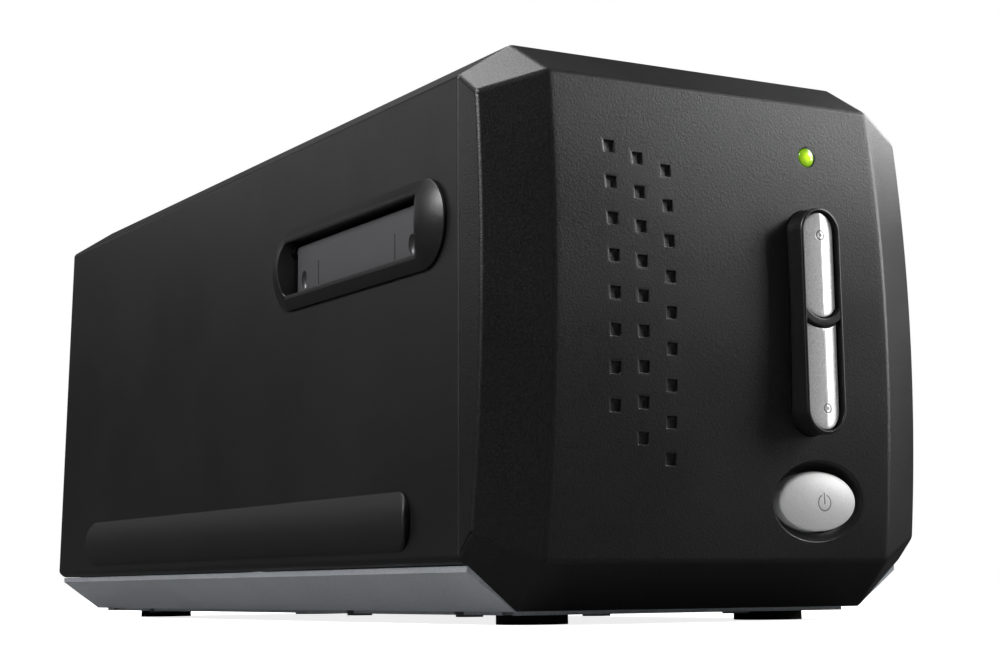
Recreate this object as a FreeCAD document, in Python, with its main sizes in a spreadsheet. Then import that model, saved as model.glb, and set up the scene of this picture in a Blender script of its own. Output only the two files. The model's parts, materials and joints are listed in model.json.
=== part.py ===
import FreeCAD, Part
import os
import re
import Sketcher
from FreeCAD import Placement, Rotation, Vector

# Desktop film negative scanner. Millimetres, +Z up, the front faces -Y. The origin lies on the
# surface that the feet stand on, midway between the rim of the scan buttons and the rear collar.

# How far an inner corner of a shell moves, as a share of the wall, for the wall to stay even
SHOULDER_SHARE = 0.54
ROOF_SHARE = 0.3
FACE_SHARE = 0.25
RIM_SHARE = 0.6
FLOOR_SHARE = 0.33
HOLLOW_SHARE = 1.7
SEAT_SHARE = 0.4
STATION_SHARES = (0, 0.25, 0.5, 0.75, 1)
VENT_SHARES = (-0.5, -0.375, -0.25, -0.125, 0, 0.125, 0.25, 0.375, 0.5)
# Shares of a pilot hole's depth that its screw fills
COVER_THREAD_SHARE = 0.7
BEZEL_THREAD_SHARE = 0.4
BOARD_THREAD_SHARE = 0.6
# Shares of the carriage's height for its lens, its sensor chip and its mirror
LENS_SHARE = 0.29
LENS_BORE_SHARE = 0.19
CHIP_SHARE = 0.16
MIRROR_SHARE = 0.91
SADDLE_SHARES = (0.15, 0.85)
EMITTER_SHARES = (-0.35, 0, 0.35)
# Chips and capacitors on the main board: across, along and, for a chip, its size
CHIP_PLACE_SHARES = ((0, 0.45, 1.0), (-0.55, 0.2, 0.6), (0.5, 0.22, 0.7))
CAN_PLACE_SHARES = ((0.6, 0.55), (0.6, 0.68), (-0.6, 0.6))

# Driving sizes. A name that ends in _y is a distance from the origin along Y, taken forwards for
# the front pieces and backwards for the rear ones, as the piece's own function says.
SIZES = {
    # Outline of the housing, an eight-sided section with slightly drafted sides
    "top_z": 119, "plate_z": 2.0, "panel_step": 0.75,
    "low_half": 56.3, "side_draft": 1.7, "roof_set": 14.1, "floor_set": 12.7,
    "side_low": 13.3, "side_drop": 8.1,
    "seam_low_y": 116.6, "seam_lean": 1.6, "seam_gap": 0.2,
    "rear_low_y": 133.4, "rear_lean": 1.9,
    "seat_gap": 0.3, "overrun": 2,
    # Top cover
    "cover_wall": 2.5, "skirt_depth": 6.6, "skirt_wall": 2.0, "skirt_drop": 1.35, "skirt_rise": 2.2,
    "cover_post_set": 17.3, "cover_front_post_set": 6.6, "cover_rear_post_set": 10.4,
    "cover_post_radius": 4, "post_split_z": 30, "thread_fit": 0.03, "pilot_depth": 16,
    # Base chassis
    "base_top": 11.8, "base_lip": 1.2, "base_wall": 2.5, "panel_side_gap": 2.1, "panel_end_gap": 3,
    "base_front_wall_top": 21, "base_rear_wall_top": 13.2,
    "bore_radius": 1.7, "head_bore_radius": 3.2, "cover_head_z": 18,
    "foot_socket_radius": 4, "foot_socket_depth": 1.2,
    # Screws of two thicknesses, with round heads
    "screw_radius": 1.5, "head_radius": 2.9, "head_height": 2.2,
    "small_screw_radius": 1.0, "small_head_radius": 1.9, "small_head_height": 1.3,
    "small_hole_radius": 1.2,
    # Feet, by their distance from the sides and from the ends
    "foot_radius": 7.5, "front_foot_set": 25.7, "front_foot_end": 15.2,
    "rear_foot_set": 30.6, "rear_foot_end": 10.8,
    # Front bezel, a barrel-curved face with slanted facets round it
    "bezel_depth": 14.85, "barrel_radius": 352, "barrel_lift": 4.7, "rim_set": 6.8,
    "face_set": 13.1, "face_drop": 8.3, "face_low": 12.3, "bezel_wall": 2.5,
    "bezel_screw_set": 26.3, "bezel_screw_z": 13.5, "bezel_boss_radius": 3.5,
    # Small square pits in three columns, each from its top to its lowest pit
    "pit_set": 15.04, "pit_column_step": 6.82, "pit_size": 2.4, "pit_depth": 0.9,
    "pit_left_drop": 23.2, "pit_left_low": 42.95, "pit_mid_drop": 25.1, "pit_mid_low": 36.62,
    "pit_right_drop": 27.1, "pit_right_low": 32.62,
    # Power button in its oval dish
    "power_set": 19.5, "power_z": 24.8, "dish_half": 12, "dish_tall": 8.5, "dish_depth": 2.4,
    "power_half": 10.2, "power_tall": 6.25, "power_gap": 0.35, "power_sink": 2.65, "well_depth": 1.0,
    "dome_half": 14, "dome_tall": 8.58, "dome_rise": 1.5,
    # Surround of the two scan buttons
    "surround_set": 21.9, "surround_drop": 32.65, "surround_rise": 13.55, "surround_half": 5.2,
    "surround_proud": 4.55, "surround_sink": 4.05, "surround_flange": 1.4, "surround_flange_depth": 1.5,
    "surround_fit": 0.15,
    "button_half": 4.2, "button_gap": 0.3, "button_sink": 0.2, "button_crown_radius": 9.5,
    "arc_lift": 5.75, "upper_arc_radius": 5.1, "lower_arc_radius": 7.4,
    "key_lap": 0.5, "key_flange": 1.0,
    "stem_radius": 1.6, "stem_sink": 7.4, "upper_stem_set": 2.725, "lower_stem_set": 2.225,
    # Indicator
    "led_set": 20.2, "led_drop": 20.5, "led_radius": 2.1, "led_proud": 0.7, "led_fit": 0.05,
    "led_collar": 1.0, "led_sink": 9.05, "led_body_radius": 1.5,
    # Button board behind the bezel
    "board_sink": 13.15, "board_thick": 1.6, "board_left_reach": 14.3, "board_right_reach": 15.2,
    "board_low": 20, "board_drop": 15,
    "board_post_left_reach": 10.5, "board_post_right_reach": 11.3, "board_post_low": 36.6,
    "board_post_drop": 27, "board_post_radius": 2.6,
    "key_half": 3, "key_body": 3.2, "plunger_radius": 1.6, "plunger_rise": 0.7,
    # Slot in each side, with its raised frame and dust door
    "slot_front_gap": 5.8, "slot_drop": 37, "flange_end": 9.5, "flange_height": 19.3,
    "flange_corner": 9.5, "flange_sink": 0.95, "flange_edge": 0.5, "lip_rise": 2.25, "lip_margin": 0.4,
    "lip_corner": 0.9, "opening_height": 12.4, "duct_wall": 1.6, "duct_depth": 4.85, "duct_fit": 0.25,
    "door_length": 61.4, "door_end_gap": 2.5, "door_thick": 1.6, "door_sink": 2.6,
    "door_top_gap": 1.0, "door_low_gap": 0.35,
    "hinge_drop": 2.2, "pin_radius": 0.75, "pin_fit": 0.05, "pin_reach": 1.2,
    "notch_end": 3.7, "notch_radius": 2.3, "notch_half": 0.8, "notch_depth": 0.7, "notch_rise": 2.6,
    "groove_end": 11.5, "groove_width": 0.35, "groove_depth": 0.3, "groove_height": 6,
    "spring_radius": 1.5, "spring_bore": 0.95, "spring_length": 1.9, "spring_wire": 0.4,
    "spring_gap": 0.25,
    # Long grip pad low on each side
    "pad_front_end": 20.5, "pad_rear_end": 28.9, "pad_low": 15.0, "pad_high": 27.4, "pad_corner": 5,
    "pad_gap": 0.05, "pad_thick": 1.65, "pad_crown_radius": 13,
    "peg_radius": 1.5, "peg_fit": 0.15, "peg_length": 3, "peg_end": 16.3,
    # Optical deck on four pillars, with the film guides and the lamp
    "deck_side_gap": 10.3, "deck_front_edge": 0.4, "deck_rear_edge": 2.6, "deck_drop": 13.5,
    "deck_thick": 3,
    "pillar_set": 7, "pillar_front_set": 14.5, "pillar_rear_set": 8.5, "pillar_radius": 4.5,
    "window_set": 48.5, "window_half": 19, "window_depth": 28,
    "guide_set": 3, "guide_margin": 5.6, "guide_floor": 4, "track_margin": 3.4, "guide_rise": 4,
    "guide_lid": 3, "guide_screw_set": 5, "guide_screw_end": 2.5,
    "lamp_half": 30, "lamp_depth": 44, "lamp_height": 21, "lamp_wall": 2, "lamp_board_gap": 0.3,
    "diffuser_lift": 2, "diffuser_thick": 2, "ledge": 2.5,
    # Optical carriage at its home place, under the rear edge of the film window
    "carriage_side_gap": 8, "carriage_nose": 14, "carriage_tail": 22, "carriage_low": 34,
    "carriage_drop": 3.5, "carriage_wall": 2.5, "lid_thick": 1.5,
    "mirror_set": 14.1, "mirror_side": 8, "mirror_thick": 2, "mirror_rib": 4,
    "slit_side": 11, "slit_depth": 7,
    "lens_front_y": 6, "lens_length": 34, "lens_recess": 3, "saddle_half": 13, "saddle_thick": 5,
    "sensor_side": 7, "sensor_board_thick": 1.6, "sensor_low_gap": 2, "sensor_high_gap": 4,
    "sensor_post": 2.2, "sensor_post_radius": 2.5, "chip_side": 4, "chip_thick": 3,
    "block_half": 5.5, "block_low": 23, "block_length": 14, "block_set": 2, "single_block_y": 2,
    "bush_radius": 4, "bush_bore": 2.56, "bush_fit": 0.02,
    "arm_y": 34, "arm_length": 10, "arm_half": 7, "arm_reach": 14.5, "nut_radius": 5, "nut_fit": 0.02,
    "flag_set": 10.5, "flag_thick": 0.8, "flag_length": 16, "flag_tall": 3,
    "sensor_slot": 2.4, "sensor_body_half": 5.5, "sensor_body_tall": 6, "sensor_body_length": 10,
    # Guide rods, their holders and the lead screw
    "rod_set": 7, "rod_z": 28.5, "rod_radius": 2.5, "rod_fit": 0.02, "rod_end": 1, "rod_seat": 2,
    "bracket_end": 7.6, "bracket_thick": 5, "bracket_side": 1, "bracket_rise": 5.5,
    "bracket_screw_set": 6,
    "bulkhead_end": 39.4, "bulkhead_thick": 3, "bulkhead_side_gap": 13.3, "bulkhead_edge": 1,
    "bulkhead_leg": 8.2, "bulkhead_notch_top": 24, "bulkhead_foot": 9, "bulkhead_foot_height": 8.9,
    "bulkhead_screw_set": 4, "bulkhead_bore": 4.5,
    "lead_set": 7, "lead_drop": 3.5, "lead_radius": 3, "lead_fit": 0.07, "lead_end_y": -8,
    "lead_reach": 8, "bearing_thick": 5, "bearing_half": 5, "bearing_rise": 6,
    "motor_radius": 12.5, "motor_length": 18, "ear_spread": 15.5, "ear_half": 3.5, "ear_thick": 1.6,
    # Main board and its ports
    "main_side_gap": 22.8, "main_front_y": 28, "main_end": 9.6, "main_low": 14, "main_thick": 1.6,
    "main_post_set": 4, "main_front_post_set": 5, "main_rear_post_set": 5.6, "main_post_radius": 3,
    "chip_low_half": 8, "chip_height": 1.6, "tall_part_height": 5,
    "usb_x": 14, "usb_half": 6, "usb_height": 11, "usb_depth": 16.6, "usb_wall": 1.6,
    "usb_tongue": 2.6, "usb_tongue_tall": 1.6, "tongue_set": 5,
    "jack_x": 12, "jack_half": 4.6, "jack_height": 11, "jack_bore": 3.2, "jack_pin": 1.0,
    "port_set": 13.2,
    # Rear panel
    "panel_sink": 5.2, "panel_thick": 2.5, "collar_left": 26, "collar_right": 24, "collar_top": 31,
    "collar_wall": 2, "collar_proud": 2.6, "port_fit": 0.2, "vent_count_span": 56, "vent_width": 2.6,
    "vent_low_drop": 57, "vent_high_drop": 31,
}

# Sizes and places that follow from the driving sizes, each worked out from those before it
PLACES = {
    # Housing
    "high_half": "low_half - side_draft",
    "roof_half": "low_half - roof_set",
    "floor_half": "low_half - floor_set",
    "side_high": "top_z - side_drop",
    "cover_post_x": "low_half - cover_post_set",
    "cover_front_post_y": "seam_low_y - cover_front_post_set",
    "cover_rear_post_y": "rear_low_y - cover_rear_post_set",
    "panel_half": "floor_half - panel_side_gap",
    "front_foot_x": "low_half - front_foot_set",
    "front_foot_y": "seam_low_y - front_foot_end",
    "rear_foot_x": "low_half - rear_foot_set",
    "rear_foot_y": "rear_low_y - rear_foot_end",
    # Front bezel
    "apex_y": "seam_low_y + bezel_depth",
    "face_high": "top_z - face_drop",
    "face_high_half": "high_half - face_set",
    "face_low_half": "low_half - face_set",
    "barrel_z": "(face_high + face_low) / 2 + barrel_lift",
    "facet_tool": "low_half + top_z",
    "bezel_screw_x": "low_half - bezel_screw_set",
    "pit_x": "face_low_half - pit_set",
    "pit_left_top": "top_z - pit_left_drop",
    "pit_mid_top": "top_z - pit_mid_drop",
    "pit_right_top": "top_z - pit_right_drop",
    # Controls
    "power_x": "face_low_half - power_set",
    "power_rim_y": "apex_y - power_sink",
    "surround_x": "face_low_half - surround_set",
    "surround_top": "top_z - surround_drop",
    "surround_low": "power_z + surround_rise",
    "surround_z": "(surround_top + surround_low) / 2",
    "surround_front_y": "apex_y + surround_proud",
    "surround_back_y": "apex_y - surround_sink",
    "button_front_y": "surround_front_y - button_sink",
    "arc_z": "surround_z + arc_lift",
    "stem_end_y": "apex_y - stem_sink",
    "upper_stem_z": "(arc_z + surround_top) / 2 - upper_stem_set",
    "lower_stem_z": "(arc_z + surround_low) / 2 - lower_stem_set",
    "led_x": "face_low_half - led_set",
    "led_z": "top_z - led_drop",
    "led_back_y": "apex_y - led_sink",
    "board_face_y": "apex_y - board_sink",
    "board_left": "surround_x - board_left_reach",
    "board_right": "surround_x + board_right_reach",
    "board_high": "top_z - board_drop",
    "board_post_left": "surround_x - board_post_left_reach",
    "board_post_right": "surround_x + board_post_right_reach",
    "board_post_high": "top_z - board_post_drop",
    # Slots and doors
    "slot_z": "top_z - slot_drop",
    "opening_length": "door_length + door_end_gap * 2",
    "flange_length": "opening_length + flange_end * 2",
    "slot_y": "seam_low_y - slot_front_gap - flange_length / 2",
    "flange_back_x": "low_half - flange_sink",
    "lip_x": "flange_back_x + lip_rise",
    "duct_inner_x": "flange_back_x - duct_depth",
    "door_face_x": "lip_x - door_sink",
    "notch_offset": "door_length / 2 - notch_end",
    "groove_offset": "door_length / 2 - groove_end",
    # Side pads
    "pad_front_y": "seam_low_y - pad_front_end",
    "pad_rear_y": "rear_low_y - pad_rear_end",
    "pad_back_x": "low_half + pad_gap",
    "pad_front_x": "pad_back_x + pad_thick",
    "peg_spread": "(pad_front_y + pad_rear_y) / 2 - peg_end",
    # Film path
    "guide_depth": "opening_length + guide_margin",
    "guide_track": "opening_length - track_margin",
    "guide_screw_depth": "guide_depth / 2 - guide_screw_end",
    "guide_top": "slot_z + guide_rise",
    "window_y": "seam_low_y - window_set",
    "deck_half": "low_half - deck_side_gap",
    "deck_front_y": "slot_y + guide_depth / 2 + deck_front_edge",
    "deck_rear_y": "slot_y - guide_depth / 2 - deck_rear_edge",
    "deck_low": "slot_z - deck_drop",
    "guide_half": "deck_half - guide_set",
    "guide_screw_x": "guide_half - guide_screw_set",
    "pillar_x": "deck_half - pillar_set",
    "pillar_front_y": "deck_front_y - pillar_front_set",
    "pillar_rear_y": "deck_rear_y + pillar_rear_set",
    # Carriage
    "bulkhead_y": "rear_low_y - bulkhead_end",
    "carriage_half": "pillar_x - carriage_side_gap",
    "carriage_rear_y": "bulkhead_y - carriage_tail",
    "mirror_y": "window_y - mirror_set",
    "carriage_front_y": "mirror_y + carriage_nose",
    "carriage_high": "deck_low - carriage_drop",
    "optic_z": "(carriage_low + carriage_high) / 2",
    "mirror_half": "carriage_half - mirror_side",
    "mirror_tall": "(carriage_high - carriage_low - carriage_wall) * %g" % MIRROR_SHARE,
    "slit_half": "carriage_half - slit_side",
    "lens_radius": "(carriage_high - carriage_low) * %g" % LENS_SHARE,
    "lens_bore": "(carriage_high - carriage_low) * %g" % LENS_BORE_SHARE,
    "sensor_half": "carriage_half - sensor_side",
    "sensor_low": "carriage_low + carriage_wall + sensor_low_gap",
    "sensor_high": "carriage_high - sensor_high_gap",
    "chip_half": "sensor_half - chip_side",
    "chip_tall": "(carriage_high - carriage_low) * %g" % CHIP_SHARE,
    "front_block_y": "carriage_front_y - block_set",
    "rear_block_y": "carriage_rear_y - block_set - block_length",
    "flag_x": "carriage_half - flag_set",
    # Rods and screw
    "rod_x": "carriage_half - rod_set",
    "bracket_front_y": "seam_low_y - bracket_end",
    "rod_front_y": "bracket_front_y - rod_end",
    "rod_rear_y": "bulkhead_y + rod_seat",
    "bracket_half": "carriage_half - bracket_side",
    "bracket_top": "rod_z + bracket_rise",
    "bracket_screw_x": "rod_x - bracket_screw_set",
    "screw_x": "carriage_half + lead_set",
    "screw_z": "optic_z - lead_drop",
    "arm_low": "screw_z - arm_half",
    "arm_high": "screw_z + arm_half",
    "bearing_top": "screw_z + bearing_rise",
    "bulkhead_half": "low_half - bulkhead_side_gap",
    "bulkhead_notch_half": "bulkhead_half - bulkhead_leg",
    "bulkhead_screw_x": "bulkhead_half - bulkhead_screw_set",
    "bulkhead_top": "screw_z + ear_spread + ear_half + bulkhead_edge",
    # Main board, ports and rear panel
    "panel_y": "rear_low_y - panel_sink",
    "collar_rear_y": "rear_low_y + collar_proud",
    "port_front_y": "panel_y - port_set",
    "main_half": "low_half - main_side_gap",
    "main_rear_y": "panel_y - main_end",
    "main_post_x": "main_half - main_post_set",
    "main_front_post_y": "main_front_y + main_front_post_set",
    "main_rear_post_y": "main_rear_y - main_rear_post_set",
    "vent_low": "top_z - vent_low_drop",
    "vent_high": "top_z - vent_high_drop",
}

doc = FreeCAD.newDocument("FilmScanner")
sheet = doc.addObject("Spreadsheet::Sheet", "Sizes")
cells = list(SIZES.items()) + [(alias, "=" + text) for alias, text in PLACES.items()]
for row, (alias, value) in enumerate(cells, start=1):
    sheet.set("A%d" % row, alias)
    sheet.setAlias("B%d" % row, alias)
    sheet.set("B%d" % row, str(value))
doc.recompute()

kept = []


def bound(text):
    """The expression with each size's name pointing at its cell."""
    def point(found):
        name = found.group()
        return "Sizes." + name if name in SIZES or name in PLACES else name
    return re.sub(r"[a-z][a-z0-9_]*", point, text)


def bind(item, name, text):
    item.setExpression(name, bound(text))


def number(text):
    return float(sheet.evalExpression(bound(text)))


def keep(item, label):
    """Marks a finished piece under its own name."""
    item.Label = label
    kept.append(item)
    return item


# Primitives and booleans, whose places and sizes follow the sheet

def box(label, x, y, z):
    item = doc.addObject("Part::Box", label)
    for name, axis, span in zip(("Length", "Width", "Height"), "xyz", (x, y, z)):
        bind(item, name, "(%s) - (%s)" % (span[1], span[0]))
        bind(item, "Placement.Base." + axis, span[0])
    return item


def cylinder(label, axis, centre, radius, low, high):
    """A round bar along one axis. centre holds its places on the other two, in X, Y, Z order."""
    item = doc.addObject("Part::Cylinder", label)
    turn = {"x": Rotation(Vector(0, 1, 0), 90), "y": Rotation(Vector(1, 0, 0), -90), "z": Rotation()}[axis]
    item.Placement = Placement(Vector(), turn)
    bind(item, "Radius", radius)
    bind(item, "Height", "(%s) - (%s)" % (high, low))
    places = dict(zip([a for a in "xyz" if a != axis], centre))
    places[axis] = low
    for name, place in places.items():
        bind(item, "Placement.Base." + name, place)
    return item


def cut(label, base, *tools):
    item = doc.addObject("Part::Cut", label)
    item.Base = base
    item.Tool = tools[0] if len(tools) == 1 else join(label + "_tools", *tools)
    return item


def join(label, *parts):
    if len(parts) == 1:
        return parts[0]
    item = doc.addObject("Part::MultiFuse", label)
    item.Shapes = list(parts)
    return item


def common(label, one, other):
    item = doc.addObject("Part::Common", label)
    item.Base = one
    item.Tool = other
    return item


def group(label, parts):
    """Like pieces that share one name, as separate solids."""
    item = doc.addObject("Part::Compound", label)
    item.Links = list(parts)
    return item


def mirror(label, source):
    item = doc.addObject("Part::Mirroring", label)
    item.Source = source
    item.Normal = Vector(1, 0, 0)
    return item


# Bodies drawn from sketches

def body(label):
    item = doc.addObject("PartDesign::Body", label)
    item.Label = label
    return item


def sketch(owner, role, place):
    """A sketch parallel to one of the body's own planes, at a place along that plane's axis."""
    item = owner.newObject("Sketcher::SketchObject", owner.Name + "_sketch")
    plane = next(f for f in owner.Origin.OriginFeatures if f.Role == role)
    item.AttachmentSupport = (plane, "")
    item.MapMode = "FlatFace"
    sign = "-1 * " if role == "XZ_Plane" else ""
    bind(item, "AttachmentOffset.Base.z", "%s(%s)" % (sign, place))
    return item


def arc_between(start, end, axis, centre, side):
    """The arc from start to end whose centre has the given coordinate along axis."""
    mid = (start + end) * 0.5
    run = end - start
    if axis == "x":
        middle = Vector(centre, mid.y - (centre - mid.x) * run.x / run.y, 0)
    else:
        middle = Vector(mid.x - (centre - mid.y) * run.y / run.x, centre, 0)
    radius = middle.distanceToPoint(start)
    across = Vector(-run.y, run.x, 0).normalize() * side
    ends = (end, start) if side > 0 else (start, end)
    return Part.Arc(ends[0], middle + across * radius, ends[1])


def outline(item, corners):
    """A closed outline. A corner is (x, y), or (x, y, axis, centre, side) where an arc leaves it."""
    points = [Vector(number(c[0]), number(c[1]), 0) for c in corners]
    count = len(corners)
    first = item.GeometryCount
    for i, corner in enumerate(corners):
        start, end = points[i], points[(i + 1) % count]
        if len(corner) == 2:
            item.addGeometry(Part.LineSegment(start, end), False)
        else:
            item.addGeometry(arc_between(start, end, corner[2], number(corner[3]), corner[4]), False)
    for i, corner in enumerate(corners):
        edge = item.Geometry[first + i]
        reach = [end.distanceToPoint(points[i]) for end in (edge.StartPoint, edge.EndPoint)]
        begin, finish = (2, 1) if len(corner) > 2 and reach[0] > reach[1] else (1, 2)
        fix_point(item, first + i, begin, corner[0], corner[1])
        if len(corner) > 2:
            kind = "DistanceX" if corner[2] == "x" else "DistanceY"
            fix(item, kind, first + i, 3, corner[3])
        ends = (i + 1) % count
        item.addConstraint(Sketcher.Constraint("Coincident", first + i, finish, first + ends,
                                               start_end(item, first + ends, points[ends])))
    return item


def start_end(item, index, point):
    edge = item.Geometry[index]
    near = edge.StartPoint.distanceToPoint(point) <= edge.EndPoint.distanceToPoint(point)
    return 1 if near else 2


def fix(item, kind, index, end, text):
    place = item.addConstraint(Sketcher.Constraint(kind, -1, 1, index, end, number(text)))
    bind(item, "Constraints[%d]" % place, text)


def fix_point(item, index, end, x, y):
    fix(item, "DistanceX", index, end, x)
    fix(item, "DistanceY", index, end, y)


def circles(item, centres, radius):
    for x, y in centres:
        index = item.addGeometry(Part.Circle(Vector(number(x), number(y), 0), Vector(0, 0, 1),
                                             number(radius)), False)
        fix_point(item, index, 3, x, y)
        size = item.addConstraint(Sketcher.Constraint("Radius", index, number(radius)))
        bind(item, "Constraints[%d]" % size, radius)
    return item


def rounded(y_low, y_high, z_low, z_high, corner):
    """The corners of a rectangle with rounded corners, running anticlockwise."""
    left, right = "%s + %s" % (y_low, corner), "%s - (%s)" % (y_high, corner)
    low, high = "%s + %s" % (z_low, corner), "%s - (%s)" % (z_high, corner)
    return [
        (left, z_low), (right, z_low, "y", low, -1), (y_high, low), (y_high, high, "y", high, -1),
        (right, z_high), (left, z_high, "y", high, -1), (y_low, high), (y_low, low, "y", low, -1),
    ]


def rectangle(x_low, x_high, y_low, y_high):
    return [(x_low, y_low), (x_high, y_low), (x_high, y_high), (x_low, y_high)]


def draw(owner, role, place, shape):
    """A sketch with one outline, or with circles where shape is (centres, radius)."""
    item = sketch(owner, role, place)
    if isinstance(shape, tuple):
        return circles(item, *shape)
    return outline(item, shape)


def add(owner, role, shape, low, high):
    """Pads an outline or circles from low to high along the plane's axis."""
    item = draw(owner, role, low, shape)
    pad = owner.newObject("PartDesign::Pad", owner.Name + "_pad")
    pad.Profile = item
    pad.Reversed = role == "XZ_Plane"
    bind(pad, "Length", "(%s) - (%s)" % (high, low))
    return pad


def take(owner, role, shape, low, high):
    """Pockets an outline or circles between low and high along the plane's axis."""
    start = low if role == "XZ_Plane" else high
    item = draw(owner, role, start, shape)
    pocket = owner.newObject("PartDesign::Pocket", owner.Name + "_pocket")
    pocket.Profile = item
    bind(pocket, "Length", "(%s) - (%s)" % (high, low))
    return pocket


def prism(label, role, shape, low, high):
    item = body(label)
    add(item, role, shape, low, high)
    return item


def both(x, *ys):
    """Centres at plus and minus x for each y."""
    return [(sign + x, y) for y in ys for sign in ("", "-1 * ")]


# Places that several pieces share

FLOOR_Z = "(plate_z + panel_step)"
INNER_FLOOR_Z = "(plate_z + panel_step + base_wall)"
WALL_RUN = "(side_high - side_low)"
SLOT_Y = "(-1 * slot_y)"


def half_at(z):
    """Half the housing's width at a height."""
    return "(low_half - (low_half - high_half) * ((%s) - side_low) / %s)" % (z, WALL_RUN)


def seam_at(z):
    """Where the bezel meets the housing at a height."""
    return "(-1 * seam_low_y + seam_lean * ((%s) - side_low) / %s)" % (z, WALL_RUN)


def front_at(z):
    """The barrel-curved front face at a height."""
    rise = "((%s) - barrel_z)" % z
    return "(-1 * apex_y + barrel_radius - sqrt(barrel_radius * barrel_radius - %s * %s))" % (rise, rise)


def rear_at(z):
    """The leaning rear end of the cover and base at a height."""
    return "(rear_low_y - rear_lean * ((%s) - side_low) / %s)" % (z, WALL_RUN)


def rear_slope(owner):
    """Trims a body's rear end to the leaning plane."""
    corners = [(rear_at("0"), "0"), ("rear_low_y + overrun * 2", "0"),
               ("rear_low_y + overrun * 2", "top_z + overrun"),
               (rear_at("top_z + overrun"), "top_z + overrun")]
    return take(owner, "YZ_Plane", corners, "-1 * low_half - overrun", "low_half + overrun")


def front_slope(owner, high):
    """Trims a body's front end to the plane of the seam."""
    corners = [("-1 * seam_low_y - overrun * 2", "0"), (seam_at("0"), "0"),
               (seam_at(high), high), ("-1 * seam_low_y - overrun * 2", high)]
    return take(owner, "YZ_Plane", corners, "-1 * low_half - overrun", "low_half + overrun")


def screw(label, axis, centre, head, sign, length, small=False):
    """A screw whose head sits against the place called head, its shaft running by sign along axis."""
    kind = "small_" if small else ""
    tip = "%s + %s * (%s)" % (head, sign, length)
    outer = "%s - %s * %shead_height" % (head, sign, kind)
    pairs = [(head, tip, kind + "screw_radius"), (outer, head, kind + "head_radius")]
    parts = []
    for low, high, radius in pairs:
        ends = (low, high) if sign == "1" else (high, low)
        parts.append(cylinder(label + "_bar", axis, centre, radius, *ends))
    return join(label, *parts)


# Housing shells

def top_cover():
    cover = body("top_cover")
    inner = "low_half - cover_wall"
    right = [
        ("roof_half", "top_z"), ("high_half", "side_high"), ("low_half", "side_low"),
        ("low_half - skirt_depth + skirt_wall", "side_low"),
        ("low_half - skirt_depth + skirt_wall", "side_low - skirt_drop"),
        ("low_half - skirt_depth", "side_low - skirt_drop"),
        ("low_half - skirt_depth", "side_low + skirt_rise"),
        (inner, "side_low + skirt_rise"),
        ("high_half - cover_wall", "side_high - cover_wall * %g" % SHOULDER_SHARE),
        ("roof_half - cover_wall * %g" % ROOF_SHARE, "top_z - cover_wall"),
    ]
    left = [("-1 * (%s)" % x, z) for x, z in reversed(right)]
    add(cover, "XZ_Plane", right + left, "-1 * seam_low_y", "rear_low_y")
    front_slope(cover, "top_z + overrun")
    rear_slope(cover)
    posts = both("cover_post_x", "-1 * cover_front_post_y", "cover_rear_post_y")
    add(cover, "XY_Plane", (posts, "cover_post_radius"), "post_split_z", "top_z - cover_wall / 2")
    take(cover, "XY_Plane", (posts, "screw_radius + thread_fit"), "post_split_z",
         "post_split_z + pilot_depth")
    hole = rectangle(
        SLOT_Y + " - opening_length / 2 - duct_wall - duct_fit",
        SLOT_Y + " + opening_length / 2 + duct_wall + duct_fit",
        "slot_z - opening_height / 2 - duct_wall - duct_fit",
        "slot_z + opening_height / 2 + duct_wall + duct_fit")
    take(cover, "YZ_Plane", hole, "-1 * low_half - overrun", "low_half + overrun")
    take(cover, "YZ_Plane", (peg_centres(), "peg_radius + peg_fit"), "-1 * low_half - overrun",
         "low_half + overrun")
    return keep(cover, "top_cover")


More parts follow.
